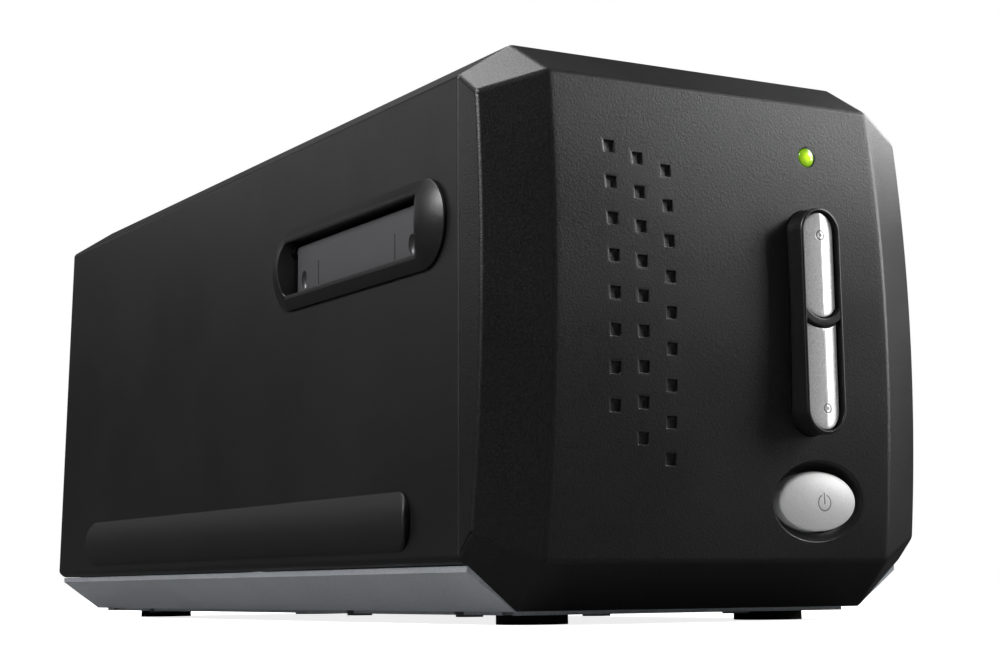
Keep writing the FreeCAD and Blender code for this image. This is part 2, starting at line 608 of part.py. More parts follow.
def base_chassis():
    base = body("base_chassis")
    floor = FLOOR_Z
    rim = "(low_half - (side_low - base_top) * (low_half - floor_half) / (side_low - %s))" % FLOOR_Z
    section = [("-1 * floor_half", floor), ("floor_half", floor), (rim, "base_top - base_lip"),
               (rim, "base_top"), ("-1 * " + rim, "base_top"), ("-1 * " + rim, "base_top - base_lip")]
    add(base, "XZ_Plane", section, "-1 * seam_low_y", "rear_low_y")
    side = "low_half - base_wall * %g" % HOLLOW_SHARE
    hollow = [
        ("-1 * floor_half + base_wall * %g" % FLOOR_SHARE, INNER_FLOOR_Z),
        ("floor_half - base_wall * %g" % FLOOR_SHARE, INNER_FLOOR_Z),
        (side, "base_top"), (side, "base_top + overrun"),
        ("-1 * (%s)" % side, "base_top + overrun"), ("-1 * (%s)" % side, "base_top"),
    ]
    take(base, "XZ_Plane", hollow, "-1 * seam_low_y + base_wall + seam_lean",
         "rear_low_y - base_wall - rear_lean")
    panel = rectangle("-1 * panel_half", "panel_half", "-1 * seam_low_y + panel_end_gap",
                      "rear_low_y - panel_end_gap")
    add(base, "XY_Plane", panel, "plate_z", floor + " + base_wall / 2")
    walls = rectangle("-1 * floor_half + base_wall", "floor_half - base_wall", floor, "base_front_wall_top")
    add(base, "XZ_Plane", walls, "-1 * seam_low_y", "-1 * seam_low_y + base_wall + seam_lean")
    rear_half = "low_half - skirt_depth - seat_gap"
    rear = rectangle("-1 * (%s)" % rear_half, rear_half, "base_top - base_wall", "base_rear_wall_top")
    add(base, "XZ_Plane", rear, "rear_low_y - base_wall - rear_lean", "rear_low_y")
    front_slope(base, "base_front_wall_top + overrun")
    cover_posts = both("cover_post_x", "-1 * cover_front_post_y", "cover_rear_post_y")
    add(base, "XY_Plane", (cover_posts, "cover_post_radius"), INNER_FLOOR_Z + " - base_wall / 2",
        "post_split_z - seat_gap")
    take(base, "XY_Plane", (cover_posts, "bore_radius"), "0", "post_split_z")
    take(base, "XY_Plane", (cover_posts, "head_bore_radius"), "0", "cover_head_z")
    board_posts = both("main_post_x", "main_front_post_y", "main_rear_post_y")
    add(base, "XY_Plane", (board_posts, "main_post_radius"), INNER_FLOOR_Z + " - base_wall / 2", "main_low")
    take(base, "XY_Plane", (board_posts, "small_screw_radius + thread_fit"), INNER_FLOOR_Z, "main_low")
    take(base, "XY_Plane", (chassis_screw_centres(), "bore_radius"), "0", INNER_FLOOR_Z)
    take(base, "XY_Plane", (chassis_screw_centres(), "head_bore_radius"), "0",
         FLOOR_Z + " + base_wall * %g" % SEAT_SHARE)
    take(base, "XY_Plane", (foot_centres(), "foot_socket_radius"), "0", "plate_z + foot_socket_depth")
    bezel_holes = both("bezel_screw_x", "bezel_screw_z")
    take(base, "XZ_Plane", (bezel_holes, "bore_radius"), "-1 * seam_low_y - overrun",
         "-1 * seam_low_y + base_wall * 2")
    return keep(base, "base_chassis")


def foot_centres():
    return both("front_foot_x", "-1 * front_foot_y") + both("rear_foot_x", "rear_foot_y")


def chassis_screw_centres():
    """Screws that hold the deck pillars, the rod bracket and the bulkhead from below."""
    pillars = both("pillar_x", "-1 * pillar_front_y", "-1 * pillar_rear_y")
    bracket = both("bracket_screw_x", "-1 * bracket_front_y + bracket_thick / 2")
    bulkhead = both("bulkhead_screw_x", "bulkhead_y + bulkhead_thick - bulkhead_foot / 2")
    return pillars + bracket + bulkhead


def rubber_feet():
    feet = []
    for x, y in foot_centres():
        disc = cylinder("foot_disc", "z", (x, y), "foot_radius", "0", "plate_z")
        plug = cylinder("foot_plug", "z", (x, y), "foot_socket_radius - seat_gap / 2", "plate_z",
                        "plate_z + foot_socket_depth - seat_gap / 2")
        feet.append(join("foot", disc, plug))
    return keep(group("rubber_feet", feet), "rubber_feet")


def cover_screws():
    places = both("cover_post_x", "-1 * cover_front_post_y", "cover_rear_post_y")
    length = "post_split_z - cover_head_z + pilot_depth * %g" % COVER_THREAD_SHARE
    screws = [screw("cover_screw", "z", c, "cover_head_z", "1", length) for c in places]
    return keep(group("cover_screws", screws), "cover_screws")


def chassis_screws():
    head = FLOOR_Z + " + base_wall * %g" % SEAT_SHARE
    screws = [screw("chassis_screw", "z", c, head, "1", "base_wall * 3") for c in chassis_screw_centres()]
    return keep(group("chassis_screws", screws), "chassis_screws")


def rear_panel():
    inset = "(cover_wall + seat_gap)"
    low = "base_rear_wall_top + seat_gap"
    right = [
        (half_at("side_low + skirt_rise") + " - " + inset, "side_low + skirt_rise + seat_gap"),
        ("high_half - " + inset, "side_high - %s * %g" % (inset, SHOULDER_SHARE)),
        ("roof_half - %s * %g" % (inset, ROOF_SHARE), "top_z - " + inset),
    ]
    foot = "low_half - skirt_depth - seat_gap"
    right = [(foot, low), (foot, "side_low + skirt_rise + seat_gap")] + right
    corners = right + [("-1 * (%s)" % x, z) for x, z in reversed(right)]
    panel = prism("rear_panel", "XZ_Plane", corners, "panel_y", "panel_y + panel_thick")
    collar = rectangle("-1 * collar_left", "collar_right", low, "collar_top")
    add(panel, "XZ_Plane", collar, "panel_y", "collar_rear_y")
    mouth = rectangle("-1 * collar_left + collar_wall", "collar_right - collar_wall",
                      low + " + collar_wall", "collar_top - collar_wall")
    take(panel, "XZ_Plane", mouth, "panel_y + panel_thick", "collar_rear_y + overrun")
    top = "main_low + main_thick"
    usb = rectangle("-1 * usb_x - usb_half - port_fit", "-1 * usb_x + usb_half + port_fit",
                    top + " - port_fit", top + " + usb_height + port_fit")
    take(panel, "XZ_Plane", usb, "panel_y - overrun", "panel_y + panel_thick + overrun")
    jack = rectangle("jack_x - jack_half - port_fit", "jack_x + jack_half + port_fit", top + " - port_fit",
                     top + " + jack_height + port_fit")
    take(panel, "XZ_Plane", jack, "panel_y - overrun", "panel_y + panel_thick + overrun")
    for share in VENT_SHARES:
        x = "vent_count_span * %g" % share
        slit = rectangle(x + " - vent_width / 2", x + " + vent_width / 2", "vent_low", "vent_high")
        take(panel, "XZ_Plane", slit, "panel_y - overrun", "panel_y + panel_thick + overrun")
    return keep(panel, "rear_panel")


# Front bezel

def bezel_section(z, inset, back):
    """The plan outline of the bezel at a height, drawn in from its outer surface by inset."""
    half = "%s - %s" % (half_at(z), inset)
    share = "((%s) - face_low) / (face_high - face_low)" % z
    taper = "(face_low_half - (face_low_half - face_high_half) * %s)" % share
    face = "%s - %s * %g" % (taper, inset, FACE_SHARE)
    front = "%s + %s" % (front_at(z), inset)
    rim = "%s + rim_set + %s * %g" % (front_at(z), inset, RIM_SHARE)
    return [("-1 * (%s)" % half, back), ("-1 * (%s)" % half, rim), ("-1 * (%s)" % face, front),
            (face, front), (half, rim), (half, back)]


def bezel_loft(label, inset, reach):
    """The barrel-curved block, lofted through plan outlines from the bottom to the top."""
    block = body(label)
    low, high = "%s + %s" % (FLOOR_Z, inset), "top_z - " + inset
    sections = []
    for share in STATION_SHARES:
        z = "(%s + (%s - %s) * %g)" % (low, high, low, share)
        sections.append(outline(sketch(block, "XY_Plane", z),
                                bezel_section(z, inset, "%s + %s" % (seam_at(z), reach))))
    loft = block.newObject("PartDesign::AdditiveLoft", label + "_loft")
    loft.Profile = sections[0]
    loft.Sections = sections[1:]
    return block


def facet_corners():
    """Three points on each slanted facet, from its corner on the seam to the front face."""
    def point(x, y, z):
        return Vector(number(x), number(y), number(z))
    facets = []
    for sign in ("-1 * ", "1 * "):
        high = point(sign + "high_half", seam_at("side_high"), "side_high")
        roof = point(sign + "roof_half", seam_at("top_z"), "top_z")
        face = point(sign + "face_high_half", front_at("face_high"), "face_high")
        facets.append((high, roof, face))
        low = point(sign + "low_half", seam_at("side_low"), "side_low")
        sole = point(sign + "floor_half", seam_at(FLOOR_Z), FLOOR_Z)
        chin = point(sign + "face_low_half", front_at("face_low"), "face_low")
        facets.append((low, sole, chin))
    (_, roof, face), (_, sole, chin) = facets[0], facets[1]
    facets.append((roof, facets[2][1], face))
    facets.append((sole, facets[3][1], chin))
    return facets


def facet_tools(label, inset):
    """Large blocks whose near faces lie on the slanted facets, moved in by inset."""
    size = number("facet_tool")
    centre = Vector(0, -number("seam_low_y"), number("barrel_z"))
    tools = []
    for one, two, three in facet_corners():
        normal = (two - one).cross(three - one).normalize()
        if normal.dot(one - centre) < 0:
            normal = normal * -1
        item = doc.addObject("Part::Feature", label)
        item.Shape = Part.makeBox(size, size, size, Vector(-size / 2, -size / 2, 0))
        item.Placement = Placement((one + two + three) * (1 / 3) - normal * number(inset),
                                   Rotation(Vector(0, 0, 1), normal))
        tools.append(item)
    return tools


def bezel_shape(label, inset, reach):
    return cut(label, bezel_loft(label + "_block", inset, reach), *facet_tools(label + "_facet", inset))


def pit_boxes():
    columns = (("pit_left", 8), ("pit_mid", 9), ("pit_right", 9))
    boxes = []
    for column, (name, count) in enumerate(columns):
        x = "-1 * pit_x + pit_column_step * %d" % column
        for row in range(count):
            z = "(%s_top - (%s_top - %s_low) * %d / %d)" % (name, name, name, row, count - 1)
            boxes.append(box("pit", (x + " - pit_size / 2", x + " + pit_size / 2"),
                             (front_at(z) + " - overrun", front_at(z) + " + pit_depth"),
                             (z + " - pit_size / 2", z + " + pit_size / 2")))
    return boxes


def ellipse(label, half, tall, y):
    """An upright ellipse round the power button's centre."""
    item = doc.addObject("Part::Ellipse", label)
    item.Placement = Placement(Vector(), Rotation(Vector(1, 0, 0), 90))
    bind(item, "MajorRadius", half)
    bind(item, "MinorRadius", tall)
    for axis, place in zip("xyz", ("power_x", y, "power_z")):
        bind(item, "Placement.Base." + axis, place)
    return item


def ellipse_solid(label, near, far):
    """A solid between two ellipses, each given as (half width, half height, y)."""
    item = doc.addObject("Part::Loft", label)
    item.Sections = [ellipse(label + "_end", *near), ellipse(label + "_end", *far)]
    item.Solid = True
    item.Ruled = True
    return item


WELL_BACK = front_at("power_z") + " + dish_depth + well_depth"


def dish_tool():
    surface = front_at("power_z")
    grow = "(dish_half - power_half - power_gap) / dish_depth * overrun"
    grow_tall = "(dish_tall - power_tall - power_gap) / dish_depth * overrun"
    return ellipse_solid("dish", ("dish_half + " + grow, "dish_tall + " + grow_tall,
                                  surface + " - overrun"),
                         ("power_half + power_gap", "power_tall + power_gap", surface + " + dish_depth"))


def front_bezel():
    outer = bezel_shape("bezel_outer", "0", "-1 * seam_gap")
    inner = bezel_shape("bezel_inner", "bezel_wall", "overrun")
    shell = cut("bezel_shell", outer, inner)
    posts = []
    for centre in board_holes():
        posts.append(cylinder("board_post", "y", centre, "board_post_radius", "-1 * apex_y - overrun",
                              "-1 * board_face_y - board_thick"))
    for x, z in both("bezel_screw_x", "bezel_screw_z"):
        posts.append(cylinder("bezel_boss", "y", (x, z), "bezel_boss_radius", "-1 * apex_y - overrun",
                              seam_at("bezel_screw_z") + " - seam_gap"))
    well = ellipse_solid("power_well", ("dish_half", "dish_tall", "-1 * apex_y - overrun"),
                         ("dish_half", "dish_tall", WELL_BACK))
    posts.append(well)
    solid = join("bezel_solid", shell, common("bezel_posts", join("bezel_post_set", *posts), outer))
    hole = prism("surround_hole", "XZ_Plane", surround_outline("surround_fit"), "-1 * surround_front_y",
                 "-1 * surround_back_y + overrun")
    oval = ("power_half + power_gap", "power_tall + power_gap")
    power = ellipse_solid("power_hole", (*oval, "-1 * apex_y - overrun"), (*oval, WELL_BACK + " + overrun"))
    led = cylinder("led_hole", "y", ("led_x", "led_z"), "led_radius + led_fit", "-1 * apex_y - overrun",
                   "-1 * led_back_y")
    pilots = []
    for centre in board_holes():
        pilots.append(cylinder("board_pilot", "y", centre, "small_screw_radius + thread_fit",
                               "-1 * board_face_y - board_thick * 4", "-1 * board_face_y"))
    for x, z in both("bezel_screw_x", "bezel_screw_z"):
        pilots.append(cylinder("bezel_pilot", "y", (x, z), "screw_radius + thread_fit",
                               seam_at("bezel_screw_z") + " - pilot_depth / 2", seam_at("bezel_screw_z")))
    bezel = cut("bezel", solid, hole, dish_tool(), power, led, *pilots, *pit_boxes())
    return keep(bezel, "front_bezel")


def bezel_screws():
    head = seam_at("bezel_screw_z") + " + base_wall + seam_lean"
    length = "base_wall + seam_lean + pilot_depth * %g" % BEZEL_THREAD_SHARE
    centres = both("bezel_screw_x", "bezel_screw_z")
    screws = [screw("bezel_screw", "y", c, head, "-1", length) for c in centres]
    return keep(group("bezel_screws", screws), "bezel_screws")


# Controls

def surround_outline(grow):
    """A tall outline with half-round ends, wider all round by grow."""
    half = "(surround_half + %s)" % grow
    low, high = "(surround_low + surround_half)", "(surround_top - surround_half)"
    left, right = "surround_x - " + half, "surround_x + " + half
    return [(left, low, "y", low, -1), (right, low), (right, high, "y", high, -1), (left, high)]


def upper_outline(grow):
    """The upper button, rounded at the top and bowed down at its lower end."""
    half = "(button_half + %s)" % grow
    radius = "(upper_arc_radius + %s)" % grow
    low = "arc_z - sqrt(%s * %s - %s * %s)" % (radius, radius, half, half)
    high = "(surround_top - surround_half)"
    left, right = "surround_x - " + half, "surround_x + " + half
    return [(left, low, "y", "arc_z", -1), (right, low), (right, high, "y", high, -1), (left, high)]


def lower_outline(grow):
    """The lower button, hollowed at the top to follow the upper one and rounded at the bottom."""
    half = "(button_half + %s)" % grow
    radius = "(lower_arc_radius - %s)" % grow
    high = "arc_z - sqrt(%s * %s - %s * %s)" % (radius, radius, half, half)
    low = "(surround_low + surround_half)"
    left, right = "surround_x - " + half, "surround_x + " + half
    return [(left, low, "y", low, -1), (right, low), (right, high, "y", "arc_z", 1), (left, high)]


def button_surround():
    front, back = "-1 * surround_front_y", "-1 * surround_back_y"
    ring = prism("button_surround", "XZ_Plane", surround_outline("0"), front, back)
    add(ring, "XZ_Plane", surround_outline("surround_flange"), back, back + " + surround_flange_depth")
    for shape in (upper_outline, lower_outline):
        take(ring, "XZ_Plane", shape("button_gap"), front + " - overrun",
             back + " + surround_flange_depth + overrun")
    return keep(ring, "button_surround")


def scan_button(label, shape, stem_z):
    seat = "-1 * surround_back_y + surround_flange_depth + seat_gap"
    key = prism(label + "_key", "XZ_Plane", shape("0"), "-1 * button_front_y", seat)
    crown = cylinder(label + "_crown", "z", ("surround_x", "-1 * button_front_y + button_crown_radius"),
                     "button_crown_radius", "surround_low - overrun", "surround_top + overrun")
    flange = prism(label + "_flange", "XZ_Plane", shape("button_gap + key_lap"), seat,
                   seat + " + key_flange")
    stem = cylinder(label + "_stem", "y", ("surround_x", stem_z), "stem_radius", seat, "-1 * stem_end_y")
    return keep(join(label, common(label + "_cap", key, crown), flange, stem), label)


DOME_REACH = "sqrt(1 - power_half * power_half / (dome_half * dome_half))"
DOME_DEPTH = "(dome_rise / (1 - %s))" % DOME_REACH


def power_button():
    """An oval key, crowned by an ellipsoid that rises by dome_rise from its rim."""
    oval = ("power_half", "power_tall")
    rim = ("power_half + power_gap + key_lap", "power_tall + power_gap + key_lap")
    seat = WELL_BACK + " + seat_gap"
    key = ellipse_solid("power_key", (*oval, "-1 * power_rim_y - dome_rise"), (*oval, seat))
    flange = ellipse_solid("power_flange", (*rim, seat), (*rim, seat + " + key_flange"))
    dome = doc.addObject("Part::Ellipsoid", "power_dome")
    bind(dome, "Radius1", "dome_tall")
    bind(dome, "Radius2", "dome_half")
    bind(dome, "Radius3", DOME_DEPTH)
    middle = "-1 * power_rim_y + %s * %s" % (DOME_DEPTH, DOME_REACH)
    for axis, place in zip("xyz", ("power_x", middle, "power_z")):
        bind(dome, "Placement.Base." + axis, place)
    stem = cylinder("power_stem", "y", ("power_x", "power_z"), "stem_radius", seat, "-1 * stem_end_y")
    return keep(join("power_button", common("power_cap", key, dome), flange, stem), "power_button")


def led_lens():
    nose = front_at("led_z") + " - led_proud"
    ball = doc.addObject("Part::Sphere", "led_dome")
    radius = "(led_radius * led_radius + led_proud * led_proud) / (2 * led_proud)"
    bind(ball, "Radius", radius)
    for axis, place in zip("xyz", ("led_x", nose + " + " + radius, "led_z")):
        bind(ball, "Placement.Base." + axis, place)
    rod = cylinder("led_rod", "y", ("led_x", "led_z"), "led_radius", nose,
                   nose + " + bezel_wall + led_proud")
    inner = front_at("led_z") + " + bezel_wall + led_proud / 2"
    collar = cylinder("led_flange", "y", ("led_x", "led_z"), "led_radius + led_collar", inner,
                      inner + " + led_collar")
    pipe = cylinder("led_pipe", "y", ("led_x", "led_z"), "led_radius", front_at("led_z") + " + bezel_wall",
                    "-1 * led_back_y")
    return keep(join("led_lens", common("led_nose", rod, ball), collar, pipe), "led_lens")


def board_holes():
    sides, levels = ("board_post_left", "board_post_right"), ("board_post_low", "board_post_high")
    return [(x, z) for x in sides for z in levels]


def button_board():
    edge = rectangle("board_left", "board_right", "board_low", "board_high")
    board = prism("button_board", "XZ_Plane", edge, "-1 * board_face_y - board_thick", "-1 * board_face_y")
    take(board, "XZ_Plane", (board_holes(), "small_hole_radius"),
         "-1 * board_face_y - board_thick - overrun", "-1 * board_face_y + overrun")
    return keep(board, "button_board")


def button_board_screws():
    screws = [screw("board_screw", "y", c, "-1 * board_face_y", "-1", "board_thick * 4",
                    small=True) for c in board_holes()]
    return keep(group("button_board_screws", screws), "button_board_screws")


def key_switches():
    face = "-1 * board_face_y - board_thick"
    keys = []
    for x, z in (("surround_x", "upper_stem_z"), ("surround_x", "lower_stem_z"), ("power_x", "power_z")):
        block = box("key_body", (x + " - key_half", x + " + key_half"),
                    (face + " - key_body + plunger_rise", face), (z + " - key_half", z + " + key_half"))
        plunger = cylinder("key_plunger", "y", (x, z), "plunger_radius", face + " - key_body", face)
        keys.append(join("key_switch", block, plunger))
    return keep(group("key_switches", keys), "key_switches")


def indicator_led():
    face = "-1 * board_face_y - board_thick"
    return keep(cylinder("indicator_led", "y", ("led_x", "led_z"), "led_body_radius",
                         "-1 * led_back_y + seat_gap", face), "indicator_led")


# Slot frames and dust doors, drawn on the right side

DOOR_LOW = "(slot_z - opening_height / 2 + door_low_gap)"
DOOR_HIGH = "(slot_z + opening_height / 2 - door_top_gap)"
HINGE_X = "(door_face_x - door_thick / 2)"
HINGE_Z = "(slot_z + opening_height / 2 - hinge_drop)"


def opening_outline(grow, corner):
    half, tall = "(opening_length / 2 + %s)" % grow, "(opening_height / 2 + %s)" % grow
    return rounded(SLOT_Y + " - " + half, SLOT_Y + " + " + half, "slot_z - " + tall, "slot_z + " + tall,
                   corner)


def slot_frame():
    edge_y, edge_z = "flange_length / 2", "flange_height / 2"
    outer = rounded(SLOT_Y + " - " + edge_y, SLOT_Y + " + " + edge_y, "slot_z - " + edge_z,
                    "slot_z + " + edge_z, "flange_corner")
    frame = prism("right_slot_frame_body", "YZ_Plane", outer, "flange_back_x",
                  "flange_back_x + flange_edge")
    loft = frame.newObject("PartDesign::AdditiveLoft", "slot_frame_slope")
    loft.Profile = draw(frame, "YZ_Plane", "flange_back_x + flange_edge", outer)
    lip = opening_outline("lip_margin", "lip_corner + lip_margin")
    loft.Sections = [draw(frame, "YZ_Plane", "lip_x", lip)]
    loft.Ruled = True
    duct = rectangle(SLOT_Y + " - opening_length / 2 - duct_wall",
                     SLOT_Y + " + opening_length / 2 + duct_wall",
                     "slot_z - opening_height / 2 - duct_wall", "slot_z + opening_height / 2 + duct_wall")
    add(frame, "YZ_Plane", duct, "duct_inner_x", "flange_back_x + flange_edge")
    take(frame, "YZ_Plane", opening_outline("0", "lip_corner"), "duct_inner_x - overrun", "lip_x + overrun")
    take(frame, "XZ_Plane", ([(HINGE_X, HINGE_Z)], "pin_radius + pin_fit"),
         SLOT_Y + " - opening_length / 2 - pin_reach", SLOT_Y + " + opening_length / 2 + pin_reach")
    keep(frame, "right_slot_frame")
    return keep(mirror("left_slot_frame", frame), "left_slot_frame")


def dust_door():
    low, high = SLOT_Y + " - door_length / 2", SLOT_Y + " + door_length / 2"
    leaf = prism("right_dust_door_body", "YZ_Plane", rectangle(low, high, DOOR_LOW, DOOR_HIGH),
                 "door_face_x - door_thick", "door_face_x")
    reach = "opening_length / 2 + pin_reach - seat_gap"
    add(leaf, "XZ_Plane", ([(HINGE_X, HINGE_Z)], "pin_radius"), SLOT_Y + " - " + reach,
        SLOT_Y + " + " + reach)
    for sign in ("-", "+"):
        y = "(%s %s notch_offset)" % (SLOT_Y, sign)
        foot, top = DOOR_LOW + " + notch_rise - notch_radius", DOOR_LOW + " + notch_rise + notch_radius"
        lens = [(y + " - notch_half", foot), (y + " + notch_half", foot, "x", y + " - notch_radius", -1),
                (y + " + notch_half", top), (y + " - notch_half", top)]
        take(leaf, "YZ_Plane", lens, "door_face_x - notch_depth", "door_face_x + overrun")
        y = "(%s %s groove_offset)" % (SLOT_Y, sign)
        slit = rectangle(y + " - groove_width / 2", y + " + groove_width / 2", DOOR_LOW,
                         DOOR_LOW + " + groove_height")
        take(leaf, "YZ_Plane", slit, "door_face_x - groove_depth", "door_face_x + overrun")
    keep(leaf, "right_dust_door")
    return keep(mirror("left_dust_door", leaf), "left_dust_door")


def door_spring():
    low = SLOT_Y + " + door_length / 2 + spring_gap"
    coil = cylinder("spring_coil", "y", (HINGE_X, HINGE_Z), "spring_radius", low, low + " + spring_length")
    bore = cylinder("spring_bore_tool", "y", (HINGE_X, HINGE_Z), "spring_bore", low + " - overrun",
                    low + " + spring_length + overrun")
    foot = (HINGE_X + " + spring_radius - spring_wire", low + " + spring_wire")
    leg = cylinder("spring_leg", "z", foot, "spring_wire / 2", HINGE_Z,
                   "slot_z + opening_height / 2 - spring_wire / 2")
    spring = join("right_door_spring_wire", cut("spring_ring", coil, bore), leg)
    keep(spring, "right_door_spring")
    return keep(mirror("left_door_spring", spring), "left_door_spring")


# Side pads

def peg_centres():
    middle, level = "(pad_rear_y - pad_front_y) / 2", "(pad_low + pad_high) / 2"
    return [(middle + shift, level) for shift in (" - peg_spread", "", " + peg_spread")]


def side_pad():
    edge = rounded("-1 * pad_front_y", "pad_rear_y", "pad_low", "pad_high", "pad_corner")
    slab = prism("pad_slab", "YZ_Plane", edge, "pad_back_x", "pad_front_x")
    crown = cylinder("pad_crown", "y", ("pad_front_x - pad_crown_radius", "(pad_low + pad_high) / 2"),
                     "pad_crown_radius", "-1 * pad_front_y - overrun", "pad_rear_y + overrun")
    pegs = [cylinder("pad_peg", "x", c, "peg_radius", "pad_back_x - peg_length",
                     "pad_back_x + seat_gap") for c in peg_centres()]
    pad = join("right_side_pad_form", common("pad_form", slab, crown), *pegs)
    keep(pad, "right_side_pad")
    return keep(mirror("left_side_pad", pad), "left_side_pad")


# Film path

DECK_TOP = "(deck_low + deck_thick)"
GUIDE_FLOOR = "(deck_low + deck_thick + guide_floor)"
LAMP_LOW = "(guide_top + guide_lid)"


def around_slot(depth):
    return (SLOT_Y + " - %s / 2" % depth, SLOT_Y + " + %s / 2" % depth)


def around_window(depth):
    return ("-1 * window_y - %s / 2" % depth, "-1 * window_y + %s / 2" % depth)


def window():
    return rectangle("-1 * window_half", "window_half", *around_window("window_depth"))


def guide_holes():
    return both("guide_screw_x", SLOT_Y + " - guide_screw_depth", SLOT_Y + " + guide_screw_depth")


def optical_deck():
    plate = rectangle("-1 * deck_half", "deck_half", "-1 * deck_front_y", "-1 * deck_rear_y")
    deck = prism("optical_deck", "XY_Plane", plate, "deck_low", DECK_TOP)
    pillars = both("pillar_x", "-1 * pillar_front_y", "-1 * pillar_rear_y")
    add(deck, "XY_Plane", (pillars, "pillar_radius"), INNER_FLOOR_Z, DECK_TOP)
    take(deck, "XY_Plane", window(), "deck_low - overrun", DECK_TOP + " + overrun")
    take(deck, "XY_Plane", (pillars, "screw_radius + thread_fit"), INNER_FLOOR_Z,
         INNER_FLOOR_Z + " + pilot_depth / 2")
    take(deck, "XY_Plane", (guide_holes(), "small_screw_radius + thread_fit"), "deck_low", DECK_TOP)
    return keep(deck, "optical_deck")


def film_guide_lower():
    plan = rectangle("-1 * guide_half", "guide_half", *around_slot("guide_depth"))
    guide = prism("film_guide_lower", "XY_Plane", plan, DECK_TOP, "guide_top")
    track = rectangle("-1 * guide_half - overrun", "guide_half + overrun", *around_slot("guide_track"))
    take(guide, "XY_Plane", track, GUIDE_FLOOR, "guide_top + overrun")
    take(guide, "XY_Plane", window(), DECK_TOP, GUIDE_FLOOR + " + overrun")
    take(guide, "XY_Plane", (guide_holes(), "small_hole_radius"), DECK_TOP, "guide_top")
    return keep(guide, "film_guide_lower")


def film_guide_upper():
    plan = rectangle("-1 * guide_half", "guide_half", *around_slot("guide_depth"))
    lid = prism("film_guide_upper", "XY_Plane", plan, "guide_top", LAMP_LOW)
    take(lid, "XY_Plane", window(), "guide_top - overrun", LAMP_LOW + " + overrun")
    take(lid, "XY_Plane", (guide_holes(), "small_hole_radius"), "guide_top", LAMP_LOW)
    return keep(lid, "film_guide_upper")


def guide_screws():
    length = LAMP_LOW + " - deck_low"
    screws = [screw("guide_screw", "z", c, LAMP_LOW, "-1", length, small=True) for c in guide_holes()]
    return keep(group("guide_screws", screws), "guide_screws")


def lamp_housing():
    y = around_window("lamp_depth")
    shell = prism("lamp_housing", "XY_Plane", rectangle("-1 * lamp_half", "lamp_half", *y), LAMP_LOW,
                  LAMP_LOW + " + lamp_height")
    inner = rectangle("-1 * lamp_half + lamp_wall", "lamp_half - lamp_wall", y[0] + " + lamp_wall",
                      y[1] + " - lamp_wall")
    take(shell, "XY_Plane", inner, LAMP_LOW + " + diffuser_lift", LAMP_LOW + " + lamp_height - lamp_wall")
    ledge = rectangle("-1 * lamp_half + lamp_wall + ledge", "lamp_half - lamp_wall - ledge",
                      y[0] + " + lamp_wall + ledge", y[1] + " - lamp_wall - ledge")
    take(shell, "XY_Plane", ledge, LAMP_LOW + " - overrun", LAMP_LOW + " + diffuser_lift + overrun")
    return keep(shell, "lamp_housing")


def lamp_inner(gap):
    y = around_window("lamp_depth")
    return (("-1 * lamp_half + lamp_wall + " + gap, "lamp_half - lamp_wall - " + gap),
            (y[0] + " + lamp_wall + " + gap, y[1] + " - lamp_wall - " + gap))


def diffuser():
    x, y = lamp_inner("seat_gap")
    low = LAMP_LOW + " + diffuser_lift"
    return keep(box("diffuser", x, y, (low, low + " + diffuser_thick")), "diffuser")


def lamp_board():
    x, y = lamp_inner("lamp_board_gap")
    high = LAMP_LOW + " + lamp_height - lamp_wall"
    low = high + " - board_thick"
    parts = [box("lamp_plate", x, y, (low, high))]
    for share in EMITTER_SHARES:
        cx = "window_half * 2 * %g" % share
        parts.append(box("lamp_emitter", (cx + " - board_thick", cx + " + board_thick"),
                         ("-1 * window_y - board_thick", "-1 * window_y + board_thick"),
                         (low + " - board_thick / 2", low)))
    return keep(join("lamp_board", *parts), "lamp_board")


# Scan drive

def rod_bore(label, radius, low, high):
    return [cylinder(label, "y", c, radius, low, high) for c in both("rod_x", "rod_z")]


def guide_rods():
    return keep(group("guide_rods", rod_bore("guide_rod", "rod_radius", "-1 * rod_front_y", "rod_rear_y")),
                "guide_rods")


def front_rod_bracket():
    y = ("-1 * bracket_front_y", "-1 * bracket_front_y + bracket_thick")
    plate = rectangle("-1 * bracket_half", "bracket_half", INNER_FLOOR_Z, "bracket_top")
    bracket = prism("front_rod_bracket", "XZ_Plane", plate, *y)
    take(bracket, "XZ_Plane", (both("rod_x", "rod_z"), "rod_radius + rod_fit"), "-1 * rod_front_y",
         y[1] + " + overrun")
    screws = both("bracket_screw_x", y[0] + " + bracket_thick / 2")
    take(bracket, "XY_Plane", (screws, "screw_radius + thread_fit"), INNER_FLOOR_Z,
         INNER_FLOOR_Z + " + pilot_depth / 2")
    return keep(bracket, "front_rod_bracket")


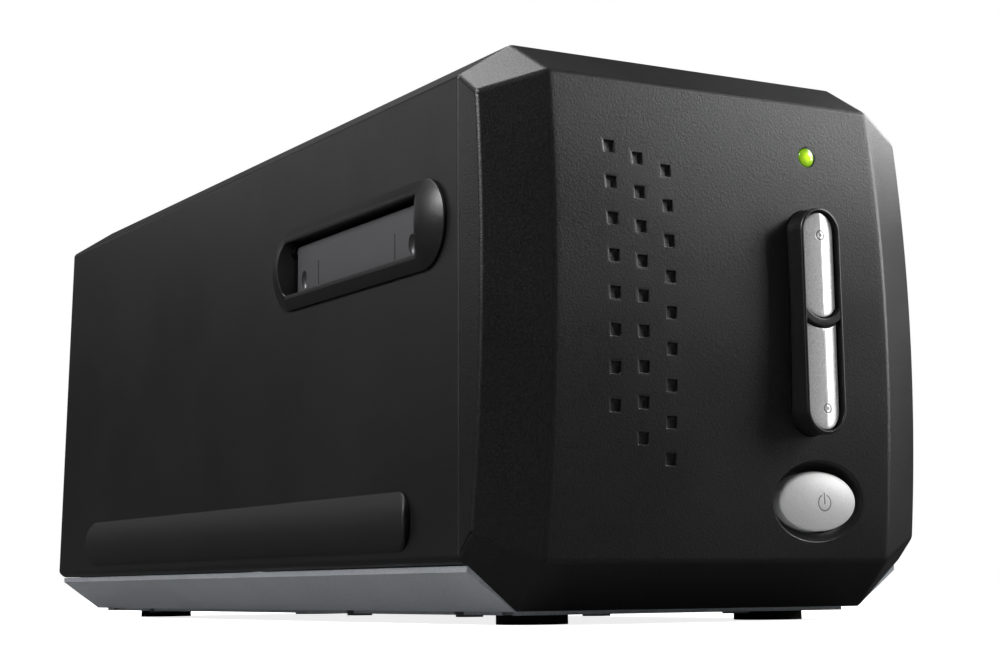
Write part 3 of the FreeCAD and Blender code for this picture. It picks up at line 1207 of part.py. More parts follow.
def rear_bulkhead():
    y = ("bulkhead_y", "bulkhead_y + bulkhead_thick")
    foot = "bulkhead_notch_half"
    corners = [
        ("-1 * bulkhead_half", INNER_FLOOR_Z), ("-1 * " + foot, INNER_FLOOR_Z),
        ("-1 * " + foot, "bulkhead_notch_top"),
        (foot, "bulkhead_notch_top"), (foot, INNER_FLOOR_Z), ("bulkhead_half", INNER_FLOOR_Z),
        ("bulkhead_half", "bulkhead_top"), ("-1 * bulkhead_half", "bulkhead_top"),
    ]
    wall = prism("rear_bulkhead", "XZ_Plane", corners, *y)
    for sign in ("", "-1 * "):
        low, high = (foot, "bulkhead_half") if sign == "" else ("-1 * bulkhead_half", "-1 * " + foot)
        add(wall, "XY_Plane", rectangle(low, high, y[1] + " - bulkhead_foot", y[1]), INNER_FLOOR_Z,
            INNER_FLOOR_Z + " + bulkhead_foot_height")
    take(wall, "XZ_Plane", (both("rod_x", "rod_z"), "rod_radius + rod_fit"), y[0] + " - overrun",
         "rod_rear_y")
    take(wall, "XZ_Plane", ([("screw_x", "screw_z")], "bulkhead_bore"), y[0] + " - overrun",
         y[1] + " + overrun")
    take(wall, "XZ_Plane", ([("screw_x", "screw_z - ear_spread"), ("screw_x", "screw_z + ear_spread")],
                            "small_screw_radius + thread_fit"), y[0] + " - overrun", y[1] + " + overrun")
    screws = both("bulkhead_screw_x", y[1] + " - bulkhead_foot / 2")
    take(wall, "XY_Plane", (screws, "screw_radius + thread_fit"), INNER_FLOOR_Z,
         INNER_FLOOR_Z + " + pilot_depth / 2")
    return keep(wall, "rear_bulkhead")


def screw_bearing():
    y = ("lead_end_y - bearing_thick", "lead_end_y")
    plate = rectangle("screw_x - bearing_half", "screw_x + bearing_half", INNER_FLOOR_Z, "bearing_top")
    post = prism("screw_bearing", "XZ_Plane", plate, "lead_end_y - bearing_thick / 2",
                 "lead_end_y + bearing_thick / 2")
    take(post, "XZ_Plane", ([("screw_x", "screw_z")], "lead_radius + lead_fit"), "lead_end_y",
         "lead_end_y + bearing_thick")
    return keep(post, "screw_bearing")


def lead_screw():
    end = "bulkhead_y + bulkhead_thick + lead_reach"
    return keep(cylinder("lead_screw", "y", ("screw_x", "screw_z"), "lead_radius", "lead_end_y + seat_gap",
                         end), "lead_screw")


def stepper_motor():
    face = "bulkhead_y + bulkhead_thick"
    can = cylinder("motor_can", "y", ("screw_x", "screw_z"), "motor_radius", face, face + " + motor_length")
    ears = box("motor_ears", ("screw_x - ear_half", "screw_x + ear_half"), (face, face + " + ear_thick"),
               ("screw_z - ear_spread - ear_half", "screw_z + ear_spread + ear_half"))
    bore = cylinder("motor_bore", "y", ("screw_x", "screw_z"), "lead_radius + lead_fit",
                    face + " - overrun", face + " + lead_reach + seat_gap")
    holes = [cylinder("ear_hole", "y", ("screw_x", "screw_z " + sign + " ear_spread"), "small_hole_radius",
                      face + " - overrun", face + " + ear_thick + overrun") for sign in "-+"]
    return keep(cut("stepper_motor", join("motor_form", can, ears), bore, *holes), "stepper_motor")


def motor_screws():
    head = "bulkhead_y + bulkhead_thick + ear_thick"
    screws = [screw("motor_screw", "y", ("screw_x", "screw_z " + sign + " ear_spread"), head, "-1",
                    "ear_thick + bulkhead_thick", small=True) for sign in "-+"]
    return keep(group("motor_screws", screws), "motor_screws")


# Optical carriage

CARRIAGE_Y = ("-1 * carriage_front_y", "carriage_rear_y")


def carriage_blocks():
    """Where the blocks that ride on the rods begin, with the side that each is on."""
    return (("-1 * rod_x", "-1 * front_block_y"), ("-1 * rod_x", "rear_block_y"),
            ("rod_x", "single_block_y"))


def mirror_plate(label, half_low, half_high, thick, drop):
    """A plate at 45 degrees under the film window, facing up and back."""
    item = doc.addObject("Part::Box", label)
    item.Placement = Placement(Vector(), Rotation(Vector(1, 0, 0), 45))
    bind(item, "Length", "(%s) - (%s)" % (half_high, half_low))
    bind(item, "Width", "mirror_tall")
    bind(item, "Height", thick)
    shift = "(mirror_tall / 2) * sqrt(2) / 2"
    bind(item, "Placement.Base.x", half_low)
    bind(item, "Placement.Base.y", "-1 * mirror_y - %s + (%s) * sqrt(2) / 2" % (shift, drop))
    bind(item, "Placement.Base.z", "optic_z - %s - (%s) * sqrt(2) / 2" % (shift, drop))
    return item


def optical_carriage():
    tray = body("carriage_tray")
    add(tray, "XY_Plane", rectangle("-1 * carriage_half", "carriage_half", *CARRIAGE_Y), "carriage_low",
        "carriage_high")
    inner = rectangle("-1 * carriage_half + carriage_wall", "carriage_half - carriage_wall",
                      CARRIAGE_Y[0] + " + carriage_wall", CARRIAGE_Y[1] + " - carriage_wall")
    take(tray, "XY_Plane", inner, "carriage_low + carriage_wall", "carriage_high + overrun")
    for x, y in carriage_blocks():
        block = rectangle(x + " - block_half", x + " + block_half", y, y + " + block_length")
        add(tray, "XY_Plane", block, "block_low", "carriage_low + carriage_wall / 2")
        take(tray, "XZ_Plane", ([(x, "rod_z")], "bush_radius + bush_fit"), y + " - overrun",
             y + " + block_length + overrun")
    arm = rectangle("carriage_half - carriage_wall / 2", "carriage_half + arm_reach", "arm_low", "arm_high")
    add(tray, "XZ_Plane", arm, "arm_y", "arm_y + arm_length")
    take(tray, "XZ_Plane", ([("screw_x", "screw_z")], "nut_radius + nut_fit"), "arm_y - overrun",
         "arm_y + arm_length + overrun")
    saddle = rectangle("-1 * saddle_half", "saddle_half", "carriage_low + carriage_wall / 2", "optic_z")
    for share in SADDLE_SHARES:
        start = "-1 * lens_front_y + (lens_length - saddle_thick) * %g" % share
        add(tray, "XZ_Plane", saddle, start, start + " + saddle_thick")
    take(tray, "XZ_Plane", ([("0", "optic_z")], "lens_radius + rod_fit"), "-1 * lens_front_y - overrun",
         "-1 * lens_front_y + lens_length + overrun")
    posts = both("chip_half", "(sensor_low + sensor_high) / 2")
    add(tray, "XZ_Plane", (posts, "sensor_post_radius"), "carriage_rear_y - carriage_wall - sensor_post",
        "carriage_rear_y - carriage_wall / 2")
    flag = rectangle("-1 * flag_x - flag_thick / 2", "-1 * flag_x + flag_thick / 2",
                     "screw_z - flag_tall / 2", "screw_z + flag_tall / 2")
    add(tray, "XZ_Plane", flag, "carriage_rear_y - carriage_wall / 2", "carriage_rear_y + flag_length")
    ribs = [mirror_plate("mirror_rib", "-1 * carriage_half + carriage_wall / 2",
                         "-1 * mirror_half + mirror_rib", "mirror_thick", "mirror_thick"),
            mirror_plate("mirror_rib", "mirror_half - mirror_rib", "carriage_half - carriage_wall / 2",
                         "mirror_thick", "mirror_thick")]
    return keep(join("optical_carriage", tray, *ribs), "optical_carriage")


def carriage_cover():
    high = "carriage_high + lid_thick"
    lid = prism("carriage_cover", "XY_Plane", rectangle("-1 * carriage_half", "carriage_half", *CARRIAGE_Y),
                "carriage_high", high)
    slit = rectangle("-1 * slit_half", "slit_half", "-1 * mirror_y - slit_depth / 2",
                     "-1 * mirror_y + slit_depth / 2")
    take(lid, "XY_Plane", slit, "carriage_high - overrun", high + " + overrun")
    return keep(lid, "carriage_cover")


def folding_mirror():
    return keep(mirror_plate("folding_mirror", "-1 * mirror_half", "mirror_half", "mirror_thick", "0"),
                "folding_mirror")


def lens_barrel():
    low = "-1 * lens_front_y"
    tube = cylinder("lens_tube", "y", ("0", "optic_z"), "lens_radius", low, low + " + lens_length")
    ends = [cylinder("lens_mouth", "y", ("0", "optic_z"), "lens_bore", low + " - overrun",
                     low + " + lens_recess"),
            cylinder("lens_mouth", "y", ("0", "optic_z"), "lens_bore", low + " + lens_length - lens_recess",
                     low + " + lens_length + overrun")]
    return keep(cut("lens_barrel", tube, *ends), "lens_barrel")


def sensor_board():
    rear = "carriage_rear_y - carriage_wall - sensor_post"
    front = rear + " - sensor_board_thick"
    plate = box("sensor_plate", ("-1 * sensor_half", "sensor_half"), (front, rear),
                ("sensor_low", "sensor_high"))
    chip = box("sensor_chip", ("-1 * chip_half", "chip_half"), (front + " - chip_thick", front),
               ("optic_z - chip_tall", "optic_z + chip_tall"))
    return keep(join("sensor_board", plate, chip), "sensor_board")


def carriage_bushes():
    rings = []
    for x, y in carriage_blocks():
        ring = cylinder("bush_ring", "y", (x, "rod_z"), "bush_radius", y, y + " + block_length")
        bore = cylinder("bush_hole", "y", (x, "rod_z"), "bush_bore", y + " - overrun",
                        y + " + block_length + overrun")
        rings.append(cut("bush", ring, bore))
    return keep(group("carriage_bushes", rings), "carriage_bushes")


def drive_nut():
    ring = cylinder("nut_ring", "y", ("screw_x", "screw_z"), "nut_radius", "arm_y", "arm_y + arm_length")
    bore = cylinder("nut_hole", "y", ("screw_x", "screw_z"), "lead_radius + lead_fit", "arm_y - overrun",
                    "arm_y + arm_length + overrun")
    return keep(cut("drive_nut", ring, bore), "drive_nut")


def home_sensor():
    y = ("bulkhead_y - sensor_body_length", "bulkhead_y")
    block = box("home_block", ("-1 * flag_x - sensor_body_half", "-1 * flag_x + sensor_body_half"), y,
                ("screw_z - sensor_body_tall", "screw_z + sensor_body_tall"))
    slot = box("home_slot", ("-1 * flag_x - sensor_slot / 2", "-1 * flag_x + sensor_slot / 2"),
               (y[0] + " - overrun", y[1] + " - overrun"),
               ("screw_z - sensor_body_tall - overrun", "screw_z + sensor_body_tall + overrun"))
    return keep(cut("home_sensor", block, slot), "home_sensor")


# Electronics

MAIN_TOP = "(main_low + main_thick)"
PORT_REAR = "(port_front_y + usb_depth)"


def board_place(across, along):
    """A place on the main board, as shares of its half width and of its length."""
    return "main_half * %g" % across, "main_front_y + (main_rear_y - main_front_y) * %g" % along


def main_board():
    plan = rectangle("-1 * main_half", "main_half", "main_front_y", "main_rear_y")
    board = prism("main_board", "XY_Plane", plan, "main_low", MAIN_TOP)
    foot = MAIN_TOP + " - chip_height / 4"
    for across, along, size in CHIP_PLACE_SHARES:
        x, y = board_place(across, along)
        half = "chip_low_half * %g" % size
        chip = rectangle(x + " - " + half, x + " + " + half, y + " - " + half, y + " + " + half)
        add(board, "XY_Plane", chip, foot, MAIN_TOP + " + chip_height")
    cans = [board_place(across, along) for across, along in CAN_PLACE_SHARES]
    add(board, "XY_Plane", (cans, "main_post_radius"), foot, MAIN_TOP + " + tall_part_height")
    take(board, "XY_Plane", (both("main_post_x", "main_front_post_y", "main_rear_post_y"),
                             "small_hole_radius"), "main_low - overrun", MAIN_TOP + " + overrun")
    return keep(board, "main_board")


def main_board_screws():
    places = both("main_post_x", "main_front_post_y", "main_rear_post_y")
    length = "main_thick + (main_low - %s) * %g" % (INNER_FLOOR_Z, BOARD_THREAD_SHARE)
    screws = [screw("main_screw", "z", c, MAIN_TOP, "-1", length, small=True) for c in places]
    return keep(group("main_board_screws", screws), "main_board_screws")


def usb_port():
    x = ("-1 * usb_x - usb_half", "-1 * usb_x + usb_half")
    z = (MAIN_TOP, MAIN_TOP + " + usb_height")
    block = box("usb_block", x, ("port_front_y", PORT_REAR), z)
    mouth = box("usb_mouth", (x[0] + " + usb_wall", x[1] + " - usb_wall"),
                ("port_front_y + usb_wall * 2", PORT_REAR + " + overrun"),
                (z[0] + " + usb_wall", z[1] + " - usb_wall"))
    middle = MAIN_TOP + " + usb_height / 2"
    tongue = box("usb_tongue_bar", ("-1 * usb_x - usb_tongue", "-1 * usb_x + usb_tongue"),
                 ("port_front_y + usb_wall", PORT_REAR + " - tongue_set"),
                 (middle + " - usb_tongue_tall", middle + " + usb_tongue_tall"))
    return keep(join("usb_port", cut("usb_shell", block, mouth), tongue), "usb_port")


def power_jack():
    z = (MAIN_TOP, MAIN_TOP + " + jack_height")
    middle = MAIN_TOP + " + jack_height / 2"
    block = box("jack_block", ("jack_x - jack_half", "jack_x + jack_half"), ("port_front_y", PORT_REAR), z)
    bore = cylinder("jack_mouth", "y", ("jack_x", middle), "jack_bore", "port_front_y + usb_wall * 2",
                    PORT_REAR + " + overrun")
    pin = cylinder("jack_pin_bar", "y", ("jack_x", middle), "jack_pin", "port_front_y + usb_wall",
                   PORT_REAR + " - tongue_set")
    return keep(join("power_jack", cut("jack_shell", block, bore), pin), "power_jack")


def check(items):
    """Stops if a feature failed, a pocket took nothing away or a finished piece isn't a valid solid."""
    faults = []
    for item in doc.Objects:
        if any(word in item.State for word in ("Invalid", "Error")):
            faults.append("failed: " + item.Name)
        elif item.TypeId == "PartDesign::Pocket" and item.Shape.Volume >= item.BaseFeature.Shape.Volume:
            faults.append("took nothing away: " + item.Name)
    for item in items:
        if item.Shape.isNull() or not item.Shape.isValid() or not item.Shape.Solids:
            faults.append("not a valid solid: " + item.Label)
    if faults:
        raise RuntimeError("\n".join(faults))


for make in (
    top_cover, base_chassis, rear_panel, front_bezel, rubber_feet, cover_screws, chassis_screws,
    bezel_screws,
    button_surround, power_button, led_lens, button_board, button_board_screws, key_switches, indicator_led,
    slot_frame, dust_door, door_spring, side_pad,
    optical_deck, film_guide_lower, film_guide_upper, guide_screws, lamp_housing, diffuser, lamp_board,
    guide_rods, front_rod_bracket, rear_bulkhead, screw_bearing, lead_screw, stepper_motor, motor_screws,
    optical_carriage, carriage_cover, folding_mirror, lens_barrel, sensor_board, carriage_bushes, drive_nut,
    home_sensor,
    main_board, main_board_screws, usb_port, power_jack,
):
    make()
scan_button("upper_scan_button", upper_outline, "upper_stem_z")
scan_button("lower_scan_button", lower_outline, "lower_stem_z")
doc.recompute()
check(kept)

os.makedirs("parts", exist_ok=True)
for item in kept:
    item.Shape.exportStep("parts/%s.step" % item.Label)
    print("%-24s %2d solids %10.1f mm3" % (item.Label, len(item.Shape.Solids), item.Shape.Volume))
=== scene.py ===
"""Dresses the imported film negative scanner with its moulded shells, controls and finishes.

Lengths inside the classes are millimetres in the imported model's frame, and become metres when a mesh is made.
"""

import json
import logging
import math
from dataclasses import dataclass, field
from enum import Enum
from functools import partial
from typing import Any, Callable, Sequence

import bmesh
import bpy
import numpy as np
from mathutils import Matrix, Vector


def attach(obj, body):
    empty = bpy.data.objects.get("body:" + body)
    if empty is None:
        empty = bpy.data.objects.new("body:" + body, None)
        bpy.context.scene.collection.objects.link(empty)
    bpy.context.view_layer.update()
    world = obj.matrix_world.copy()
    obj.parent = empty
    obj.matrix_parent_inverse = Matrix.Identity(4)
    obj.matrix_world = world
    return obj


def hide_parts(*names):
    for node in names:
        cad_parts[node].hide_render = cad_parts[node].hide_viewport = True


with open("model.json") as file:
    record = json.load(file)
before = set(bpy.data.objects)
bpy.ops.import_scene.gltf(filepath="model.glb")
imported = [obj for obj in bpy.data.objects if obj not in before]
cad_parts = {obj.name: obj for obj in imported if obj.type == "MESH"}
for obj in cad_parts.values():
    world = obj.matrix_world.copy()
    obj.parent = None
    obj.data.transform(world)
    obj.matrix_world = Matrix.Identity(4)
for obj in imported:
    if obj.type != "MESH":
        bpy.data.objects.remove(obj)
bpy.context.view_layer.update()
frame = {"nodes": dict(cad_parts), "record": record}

log = logging.getLogger("scanner")
MM = 0.001
# Patches from this number on have only a fine rounding at their edges.
FINE_PATCH = 100
# What is added to a patch's number for the same place on the inner skin.
INNER_SKIN = 20
# Where most values of one noise lie, and of two noises mixed.
NOISE_SPAN = (0.3, 0.7)
MIXED_SPAN = (0.35, 0.65)

Array = np.ndarray
Put = Callable[..., bpy.types.Node]


class Side(Enum):
    """The two sides of the housing, as the sign of X."""

    LEFT = -1
    RIGHT = 1


# Colours and material nodes


def linear(colour: str) -> tuple[float, float, float, float]:
    """The linear colour of an sRGB hex value such as #1a1a1c.

    Each part is value / 12.92 up to 0.04045, and ((value + 0.055) / 1.055) to the power 2.4 above it.

    Args:
        colour: The hex value.

    Returns:
        Red, green, blue and an alpha of 1.
    """
    raw = np.array([int(colour[i:i + 2], 16) for i in (1, 3, 5)]) / 255.0
    value = np.where(raw <= 0.04045, raw / 12.92, ((raw + 0.055) / 1.055) ** 2.4)
    return (*value.tolist(), 1.0)


def add(tree: bpy.types.NodeTree, kind: str, inputs: dict[str, Any] | Sequence[Any] = (),
        **attributes: Any) -> bpy.types.Node:
    """Adds one node, with its settings and links, to a material or world.

    Args:
        tree: The node tree.
        kind: The node's type name, without ShaderNode.
        inputs: What goes into its input sockets, by name or in their order: a value, a socket to join to it,
            or a node, which stands for its first output in use.
        attributes: Properties of the node itself, such as operation.

    Returns:
        The new node.
    """
    node = tree.nodes.new("ShaderNode" + kind)
    for name, value in attributes.items():
        setattr(node, name, value)
    for name, value in inputs.items() if isinstance(inputs, dict) else enumerate(inputs):
        if isinstance(value, bpy.types.Node):
            value = next(output for output in value.outputs if output.enabled)
        if isinstance(value, bpy.types.NodeSocket):
            tree.links.new(value, node.inputs[name])
        else:
            node.inputs[name].default_value = value
    return node


def fresh_material(name: str) -> tuple[bpy.types.Material, Put, bpy.types.NodeSocket]:
    """An empty node material.

    Args:
        name: The material's name.

    Returns:
        The material, add for its tree, and the object coordinates in metres.
    """
    material = bpy.data.materials.new(name)
    material.use_nodes = True
    material.node_tree.nodes.clear()
    put = partial(add, material.node_tree)
    return material, put, put("TexCoord").outputs["Object"]


def scale(spacing: float) -> float:
    """A pattern's scale, as lumps in a metre, from their distance in millimetres."""
    return 1.0 / (spacing * MM)


def shades(share: Any, one: str, other: str) -> dict[str, Any]:
    """A colour mix's inputs, from one hex value at a share of 0 to the other at 1."""
    return {"Factor": share, "A": linear(one), "B": linear(other)}


def falling(edge: tuple[float, float], size: float) -> tuple[float, float, float, float]:
    """A range's numbers that go from 1 to 0 between two shares of a size."""
    return edge[0] * size, edge[1] * size, 1.0, 0.0


def close_material(put: Put, look: dict[str, Any], height: Any, strength: float, depth: float) -> None:
    """Ends a material in a principled shader over a bump.

    Args:
        put: add for the material's tree.
        look: The shader's other inputs.
        height: The node whose value is the bump's height.
        strength: How strongly the bump turns the surface.
        depth: The height in millimetres that a value of 1 stands for.
    """
    bump = put("Bump", {"Strength": strength, "Distance": depth * MM, "Height": height})
    put("OutputMaterial", {"Surface": put("BsdfPrincipled", {**look, "Normal": bump})})


@dataclass(frozen=True)
class MouldedPlastic:
    """Injection-moulded ABS with a spark-eroded grain: a matt skin whose fine pits soften its highlights."""

    name: str
    colour: str
    shade: str
    roughness: float = 0.5
    grain: float = 0.55
    depth: float = 0.05
    specular: float = 0.5
    polish: float = 0.08
    patches: float = 38.0
    grain_gloss: tuple[float, float] = (-0.02, 0.03)

    def build(self) -> bpy.types.Material:
        """The plastic's material. Its grain is drawn a little coarser than the real 0.2 mm so that it shows.

        Returns:
            The material.
        """
        material, put, where = fresh_material(self.name)
        grain = put("TexNoise", {"Vector": where, "Scale": scale(self.grain), "Detail": 2.0, "Roughness": 0.6})
        worn = put("TexNoise", {"Vector": where, "Scale": scale(self.patches), "Detail": 3.0, "Roughness": 0.55})
        fine = put("MapRange", (grain, *NOISE_SPAN))
        colour = put("Mix", shades(fine, self.shade, self.colour), data_type="RGBA")
        levels = self.roughness - self.polish / 2, self.roughness + self.polish / 2
        broad = put("MapRange", (worn, *NOISE_SPAN, *levels))
        rough = put("Math", (broad, put("MapRange", (grain, *NOISE_SPAN, *self.grain_gloss))), operation="ADD")
        look = {"Specular IOR Level": self.specular, "IOR": 1.5, "Base Color": colour, "Roughness": rough}
        close_material(put, look, grain, 0.35, self.depth)
        return material


@dataclass(frozen=True)
class SilverPaint:
    """Metallic silver lacquer over ABS: small flakes under a satin clear layer."""

    name: str
    colour: str
    shade: str
    roughness: float = 0.42
    metallic: float = 0.6
    flake: float = 0.35
    cloud: float = 26.0
    cloud_share: float = 0.3

    def build(self) -> bpy.types.Material:
        """The lacquer's material, with flakes drawn coarser than the real 0.05 mm so that they show.

        Returns:
            The material.
        """
        material, put, where = fresh_material(self.name)
        flakes = put("TexNoise", {"Vector": where, "Scale": scale(self.flake), "Detail": 1.0, "Roughness": 0.55})
        cloud = put("TexNoise", {"Vector": where, "Scale": scale(self.cloud), "Detail": 2.0, "Roughness": 0.55})
        mixed = put("Mix", {"Factor": self.cloud_share, "A": flakes, "B": cloud})
        share = put("MapRange", (mixed, *MIXED_SPAN))
        colour = put("Mix", shades(share, self.shade, self.colour), data_type="RGBA")
        rough = put("MapRange", (flakes, *NOISE_SPAN, self.roughness - 0.04, self.roughness + 0.05))
        look = {"Metallic": self.metallic, "Base Color": colour, "Roughness": rough}
        close_material(put, look, flakes, 0.15, 0.02)
        return material


class Sign(Enum):
    """What is pressed into a key's face."""

    DOTTED_RING = 1
    POWER = 2
    LINE = 3


@dataclass(frozen=True)
class Mark:
    """A mark pressed into a key's face: its middle, its radius or half length, and its line's width.

    Each edge is a pair that says where it starts and ends to fade, the line's in half widths and the others
    in radii.
    """

    sign: Sign
    x: float
    z: float
    radius: float
    line: float
    line_edge: tuple[float, float] = (0.6, 1.4)
    end_edge: tuple[float, float] = (0.97, 1.0)
    dot_edge: tuple[float, float] = (0.3, 0.45)
    gap_edge: tuple[float, float] = (0.3, 0.42)
    gap_foot: float = 0.1
    bar_edge: tuple[float, float] = (0.7, 0.78)
    bar_rise: float = 0.55

    def draw(self, put: Put, where: bpy.types.NodeSocket) -> bpy.types.Node:
        """How far a point lies inside the mark, from 0 to 1.

        A ring is where the distance from its centre is within half a line of its radius. A power mark's ring
        is open above, where a bar stands. A dotted ring has a dot at its centre. A line is upright.

        Args:
            put: add for the material's tree.
            where: The object coordinates.

        Returns:
            The node whose value is 1 inside the mark.
        """
        size, half = self.radius * MM, self.line / 2 * MM
        middle = put("Mapping", {"Vector": where, "Location": (-self.x * MM, 0.0, -self.z * MM),
                                 "Scale": (1.0, 0.0, 1.0)})
        parts = put("SeparateXYZ", (middle,)).outputs
        beside = put("Math", (parts["X"],), operation="ABSOLUTE")
        stroke = put("MapRange", (beside, *falling(self.line_edge, half)))
        if self.sign is Sign.LINE:
            along = put("Math", (parts["Z"],), operation="ABSOLUTE")
            length = put("MapRange", (along, *falling(self.end_edge, size)))
            return put("Math", (stroke, length), operation="MULTIPLY")
        reach = put("VectorMath", (middle,), operation="LENGTH")
        off = put("Math", (put("Math", (reach, size), operation="SUBTRACT"),), operation="ABSOLUTE")
        ring = put("MapRange", (off, *falling(self.line_edge, half)))
        if self.sign is Sign.DOTTED_RING:
            dot = put("MapRange", (reach, *falling(self.dot_edge, size)))
            return put("Math", (ring, dot), operation="MAXIMUM")
        narrow = put("MapRange", (beside, *falling(self.gap_edge, size)))
        above = put("MapRange", (parts["Z"], 0.0, self.gap_foot * size))
        gap = put("Math", (narrow, above), operation="MULTIPLY")
        shut = put("Math", (1.0, gap), operation="SUBTRACT")
        ring = put("Math", (ring, shut), operation="MULTIPLY")
        rise = put("Math", (parts["Z"], self.bar_rise * size), operation="SUBTRACT")
        length = put("MapRange", (put("Math", (rise,), operation="ABSOLUTE"), *falling(self.bar_edge, size)))
        bar = put("Math", (stroke, length), operation="MULTIPLY")
        return put("Math", (ring, bar), operation="MAXIMUM")


@dataclass(frozen=True)
class SatinKey:
    """Satin silver lacquer on a moulded key: bright and finely grained, with marks pressed into it."""

    name: str
    colour: str
    shade: str
    roughness: float = 0.3
    grain: float = 0.22
    blast: float = 0.05
    metallic: float = 0.55
    marks: tuple[Mark, ...] = ()
    # The colour and share of the painted shade inside the engraved marks.
    painted_shade_colour: str = "#3a3a3c"
    painted_shade_share: float = 0.75

    def build(self) -> bpy.types.Material:
        """The finish's material, lower inside the marks and darker there: the darkening is painted shade of the
        engraved marks.

        Returns:
            The material.
        """
        material, put, where = fresh_material(self.name)
        grain = put("TexNoise", {"Vector": where, "Scale": scale(self.grain), "Detail": 2.0, "Roughness": 0.7})
        inside: Any = 0.0
        for mark in self.marks:
            inside = put("Math", (inside, mark.draw(put, where)), operation="MAXIMUM")
        fine = put("MapRange", (grain, *NOISE_SPAN))
        face = put("Mix", shades(fine, self.shade, self.colour), data_type="RGBA")
        # Painted shade: the colour is darkened inside the engraved marks.
        painted_shade = put("Math", (inside, self.painted_shade_share), operation="MULTIPLY")
        colour = put("Mix", {"Factor": painted_shade, "A": face, "B": linear(self.painted_shade_colour)}, data_type="RGBA")
        blasted = put("Math", (grain, self.blast), operation="MULTIPLY")
        height = put("Math", (blasted, inside), operation="SUBTRACT")
        rough = put("MapRange", (grain, *NOISE_SPAN, self.roughness - 0.05, self.roughness + 0.07))
        look = {"Metallic": self.metallic, "Base Color": colour, "Roughness": rough}
        close_material(put, look, height, 0.5, 0.1)
        return material


@dataclass(frozen=True)
class GreenLens:
    """Tinted acrylic lens, lit from behind by a lamp: a bright core that greens towards its rim."""

    name: str
    x: float
    z: float
    radius: float
    swirl: float = 1.2
    swirl_share: float = 0.25

    def build(self) -> bpy.types.Material:
        """The lens material. Its glow falls with distance from the axis, as a radial ramp.

        Returns:
            The material.
        """
        material, put, where = fresh_material(self.name)
        middle = put("Mapping", {"Vector": where, "Location": (-self.x * MM, 0.0, -self.z * MM),
                                 "Scale": (1.0, 0.0, 1.0)})
        edge = put("MapRange", (put("VectorMath", (middle,), operation="LENGTH"), 0.0, self.radius * MM))
        swirl = put("TexNoise", {"Vector": where, "Scale": scale(self.swirl), "Detail": 2.0, "Roughness": 0.55})
        swing = put("Math", (swirl, 0.5), operation="SUBTRACT")
        share = put("Math", (swing, self.swirl_share, edge), operation="MULTIPLY_ADD")
        colour = put("Mix", shades(put("MapRange", (share, 0.2, 0.95)), "#b8e02c", "#5c8a12"), data_type="RGBA")
        glow = put("MapRange", (share, 0.2, 1.0, 0.55, 0.12))
        shader = put("BsdfPrincipled", {
            "Roughness": 0.12, "IOR": 1.49, "Coat Weight": 0.6, "Coat Roughness": 0.05, "Base Color": colour,
            "Emission Color": colour, "Emission Strength": glow})
        put("OutputMaterial", {"Surface": shader})
        return material


@dataclass(frozen=True)
class Metal:
    """Bare or plated metal with the lines of its rolling or turning."""

    name: str
    colour: str
    shade: str
    roughness: float
    line: float = 0.4
    along: tuple[float, float, float] = (1.0, 0.04, 1.0)
    cloud: float = 9.0
    cloud_share: float = 0.4

    def build(self) -> bpy.types.Material:
        """The metal's material. The noise is stretched along Y, the way the stock was drawn.

        Returns:
            The material.
        """
        material, put, where = fresh_material(self.name)
        drawn = put("Mapping", {"Vector": where, "Scale": self.along})
        lines = put("TexNoise", {"Vector": drawn, "Scale": scale(self.line), "Detail": 2.0, "Roughness": 0.55})
        cloud = put("TexNoise", {"Vector": where, "Scale": scale(self.cloud), "Detail": 2.0, "Roughness": 0.55})
        mixed = put("Mix", {"Factor": self.cloud_share, "A": lines, "B": cloud})
        share = put("MapRange", (mixed, *MIXED_SPAN))
        colour = put("Mix", shades(share, self.shade, self.colour), data_type="RGBA")
        rough = put("MapRange", (lines, *NOISE_SPAN, self.roughness - 0.06, self.roughness + 0.08))
        close_material(put, {"Metallic": 1.0, "Base Color": colour, "Roughness": rough}, lines, 0.2, 0.02)
        return material


@dataclass(frozen=True)
class CircuitBoard:
    """Glass-epoxy board under green solder resist, with copper tracks showing through."""

    name: str
    track: float = 1.3
    resist: str = "#0f4a2a"
    copper: str = "#1a6b3c"

    def build(self) -> bpy.types.Material:
        """The board's material. Tracks follow the edges of square cells.

        Returns:
            The material.
        """
        material, put, where = fresh_material(self.name)
        cells = put("TexVoronoi", {"Vector": where, "Scale": scale(self.track)}, feature="F1",
                    distance="CHEBYCHEV")
        tracks = put("MapRange", (cells, 0.32, 0.4))
        colour = put("Mix", shades(tracks, self.resist, self.copper), data_type="RGBA")
        close_material(put, {"Roughness": 0.35, "IOR": 1.5, "Base Color": colour}, tracks, 0.25, 0.03)
        return material


# Meshes


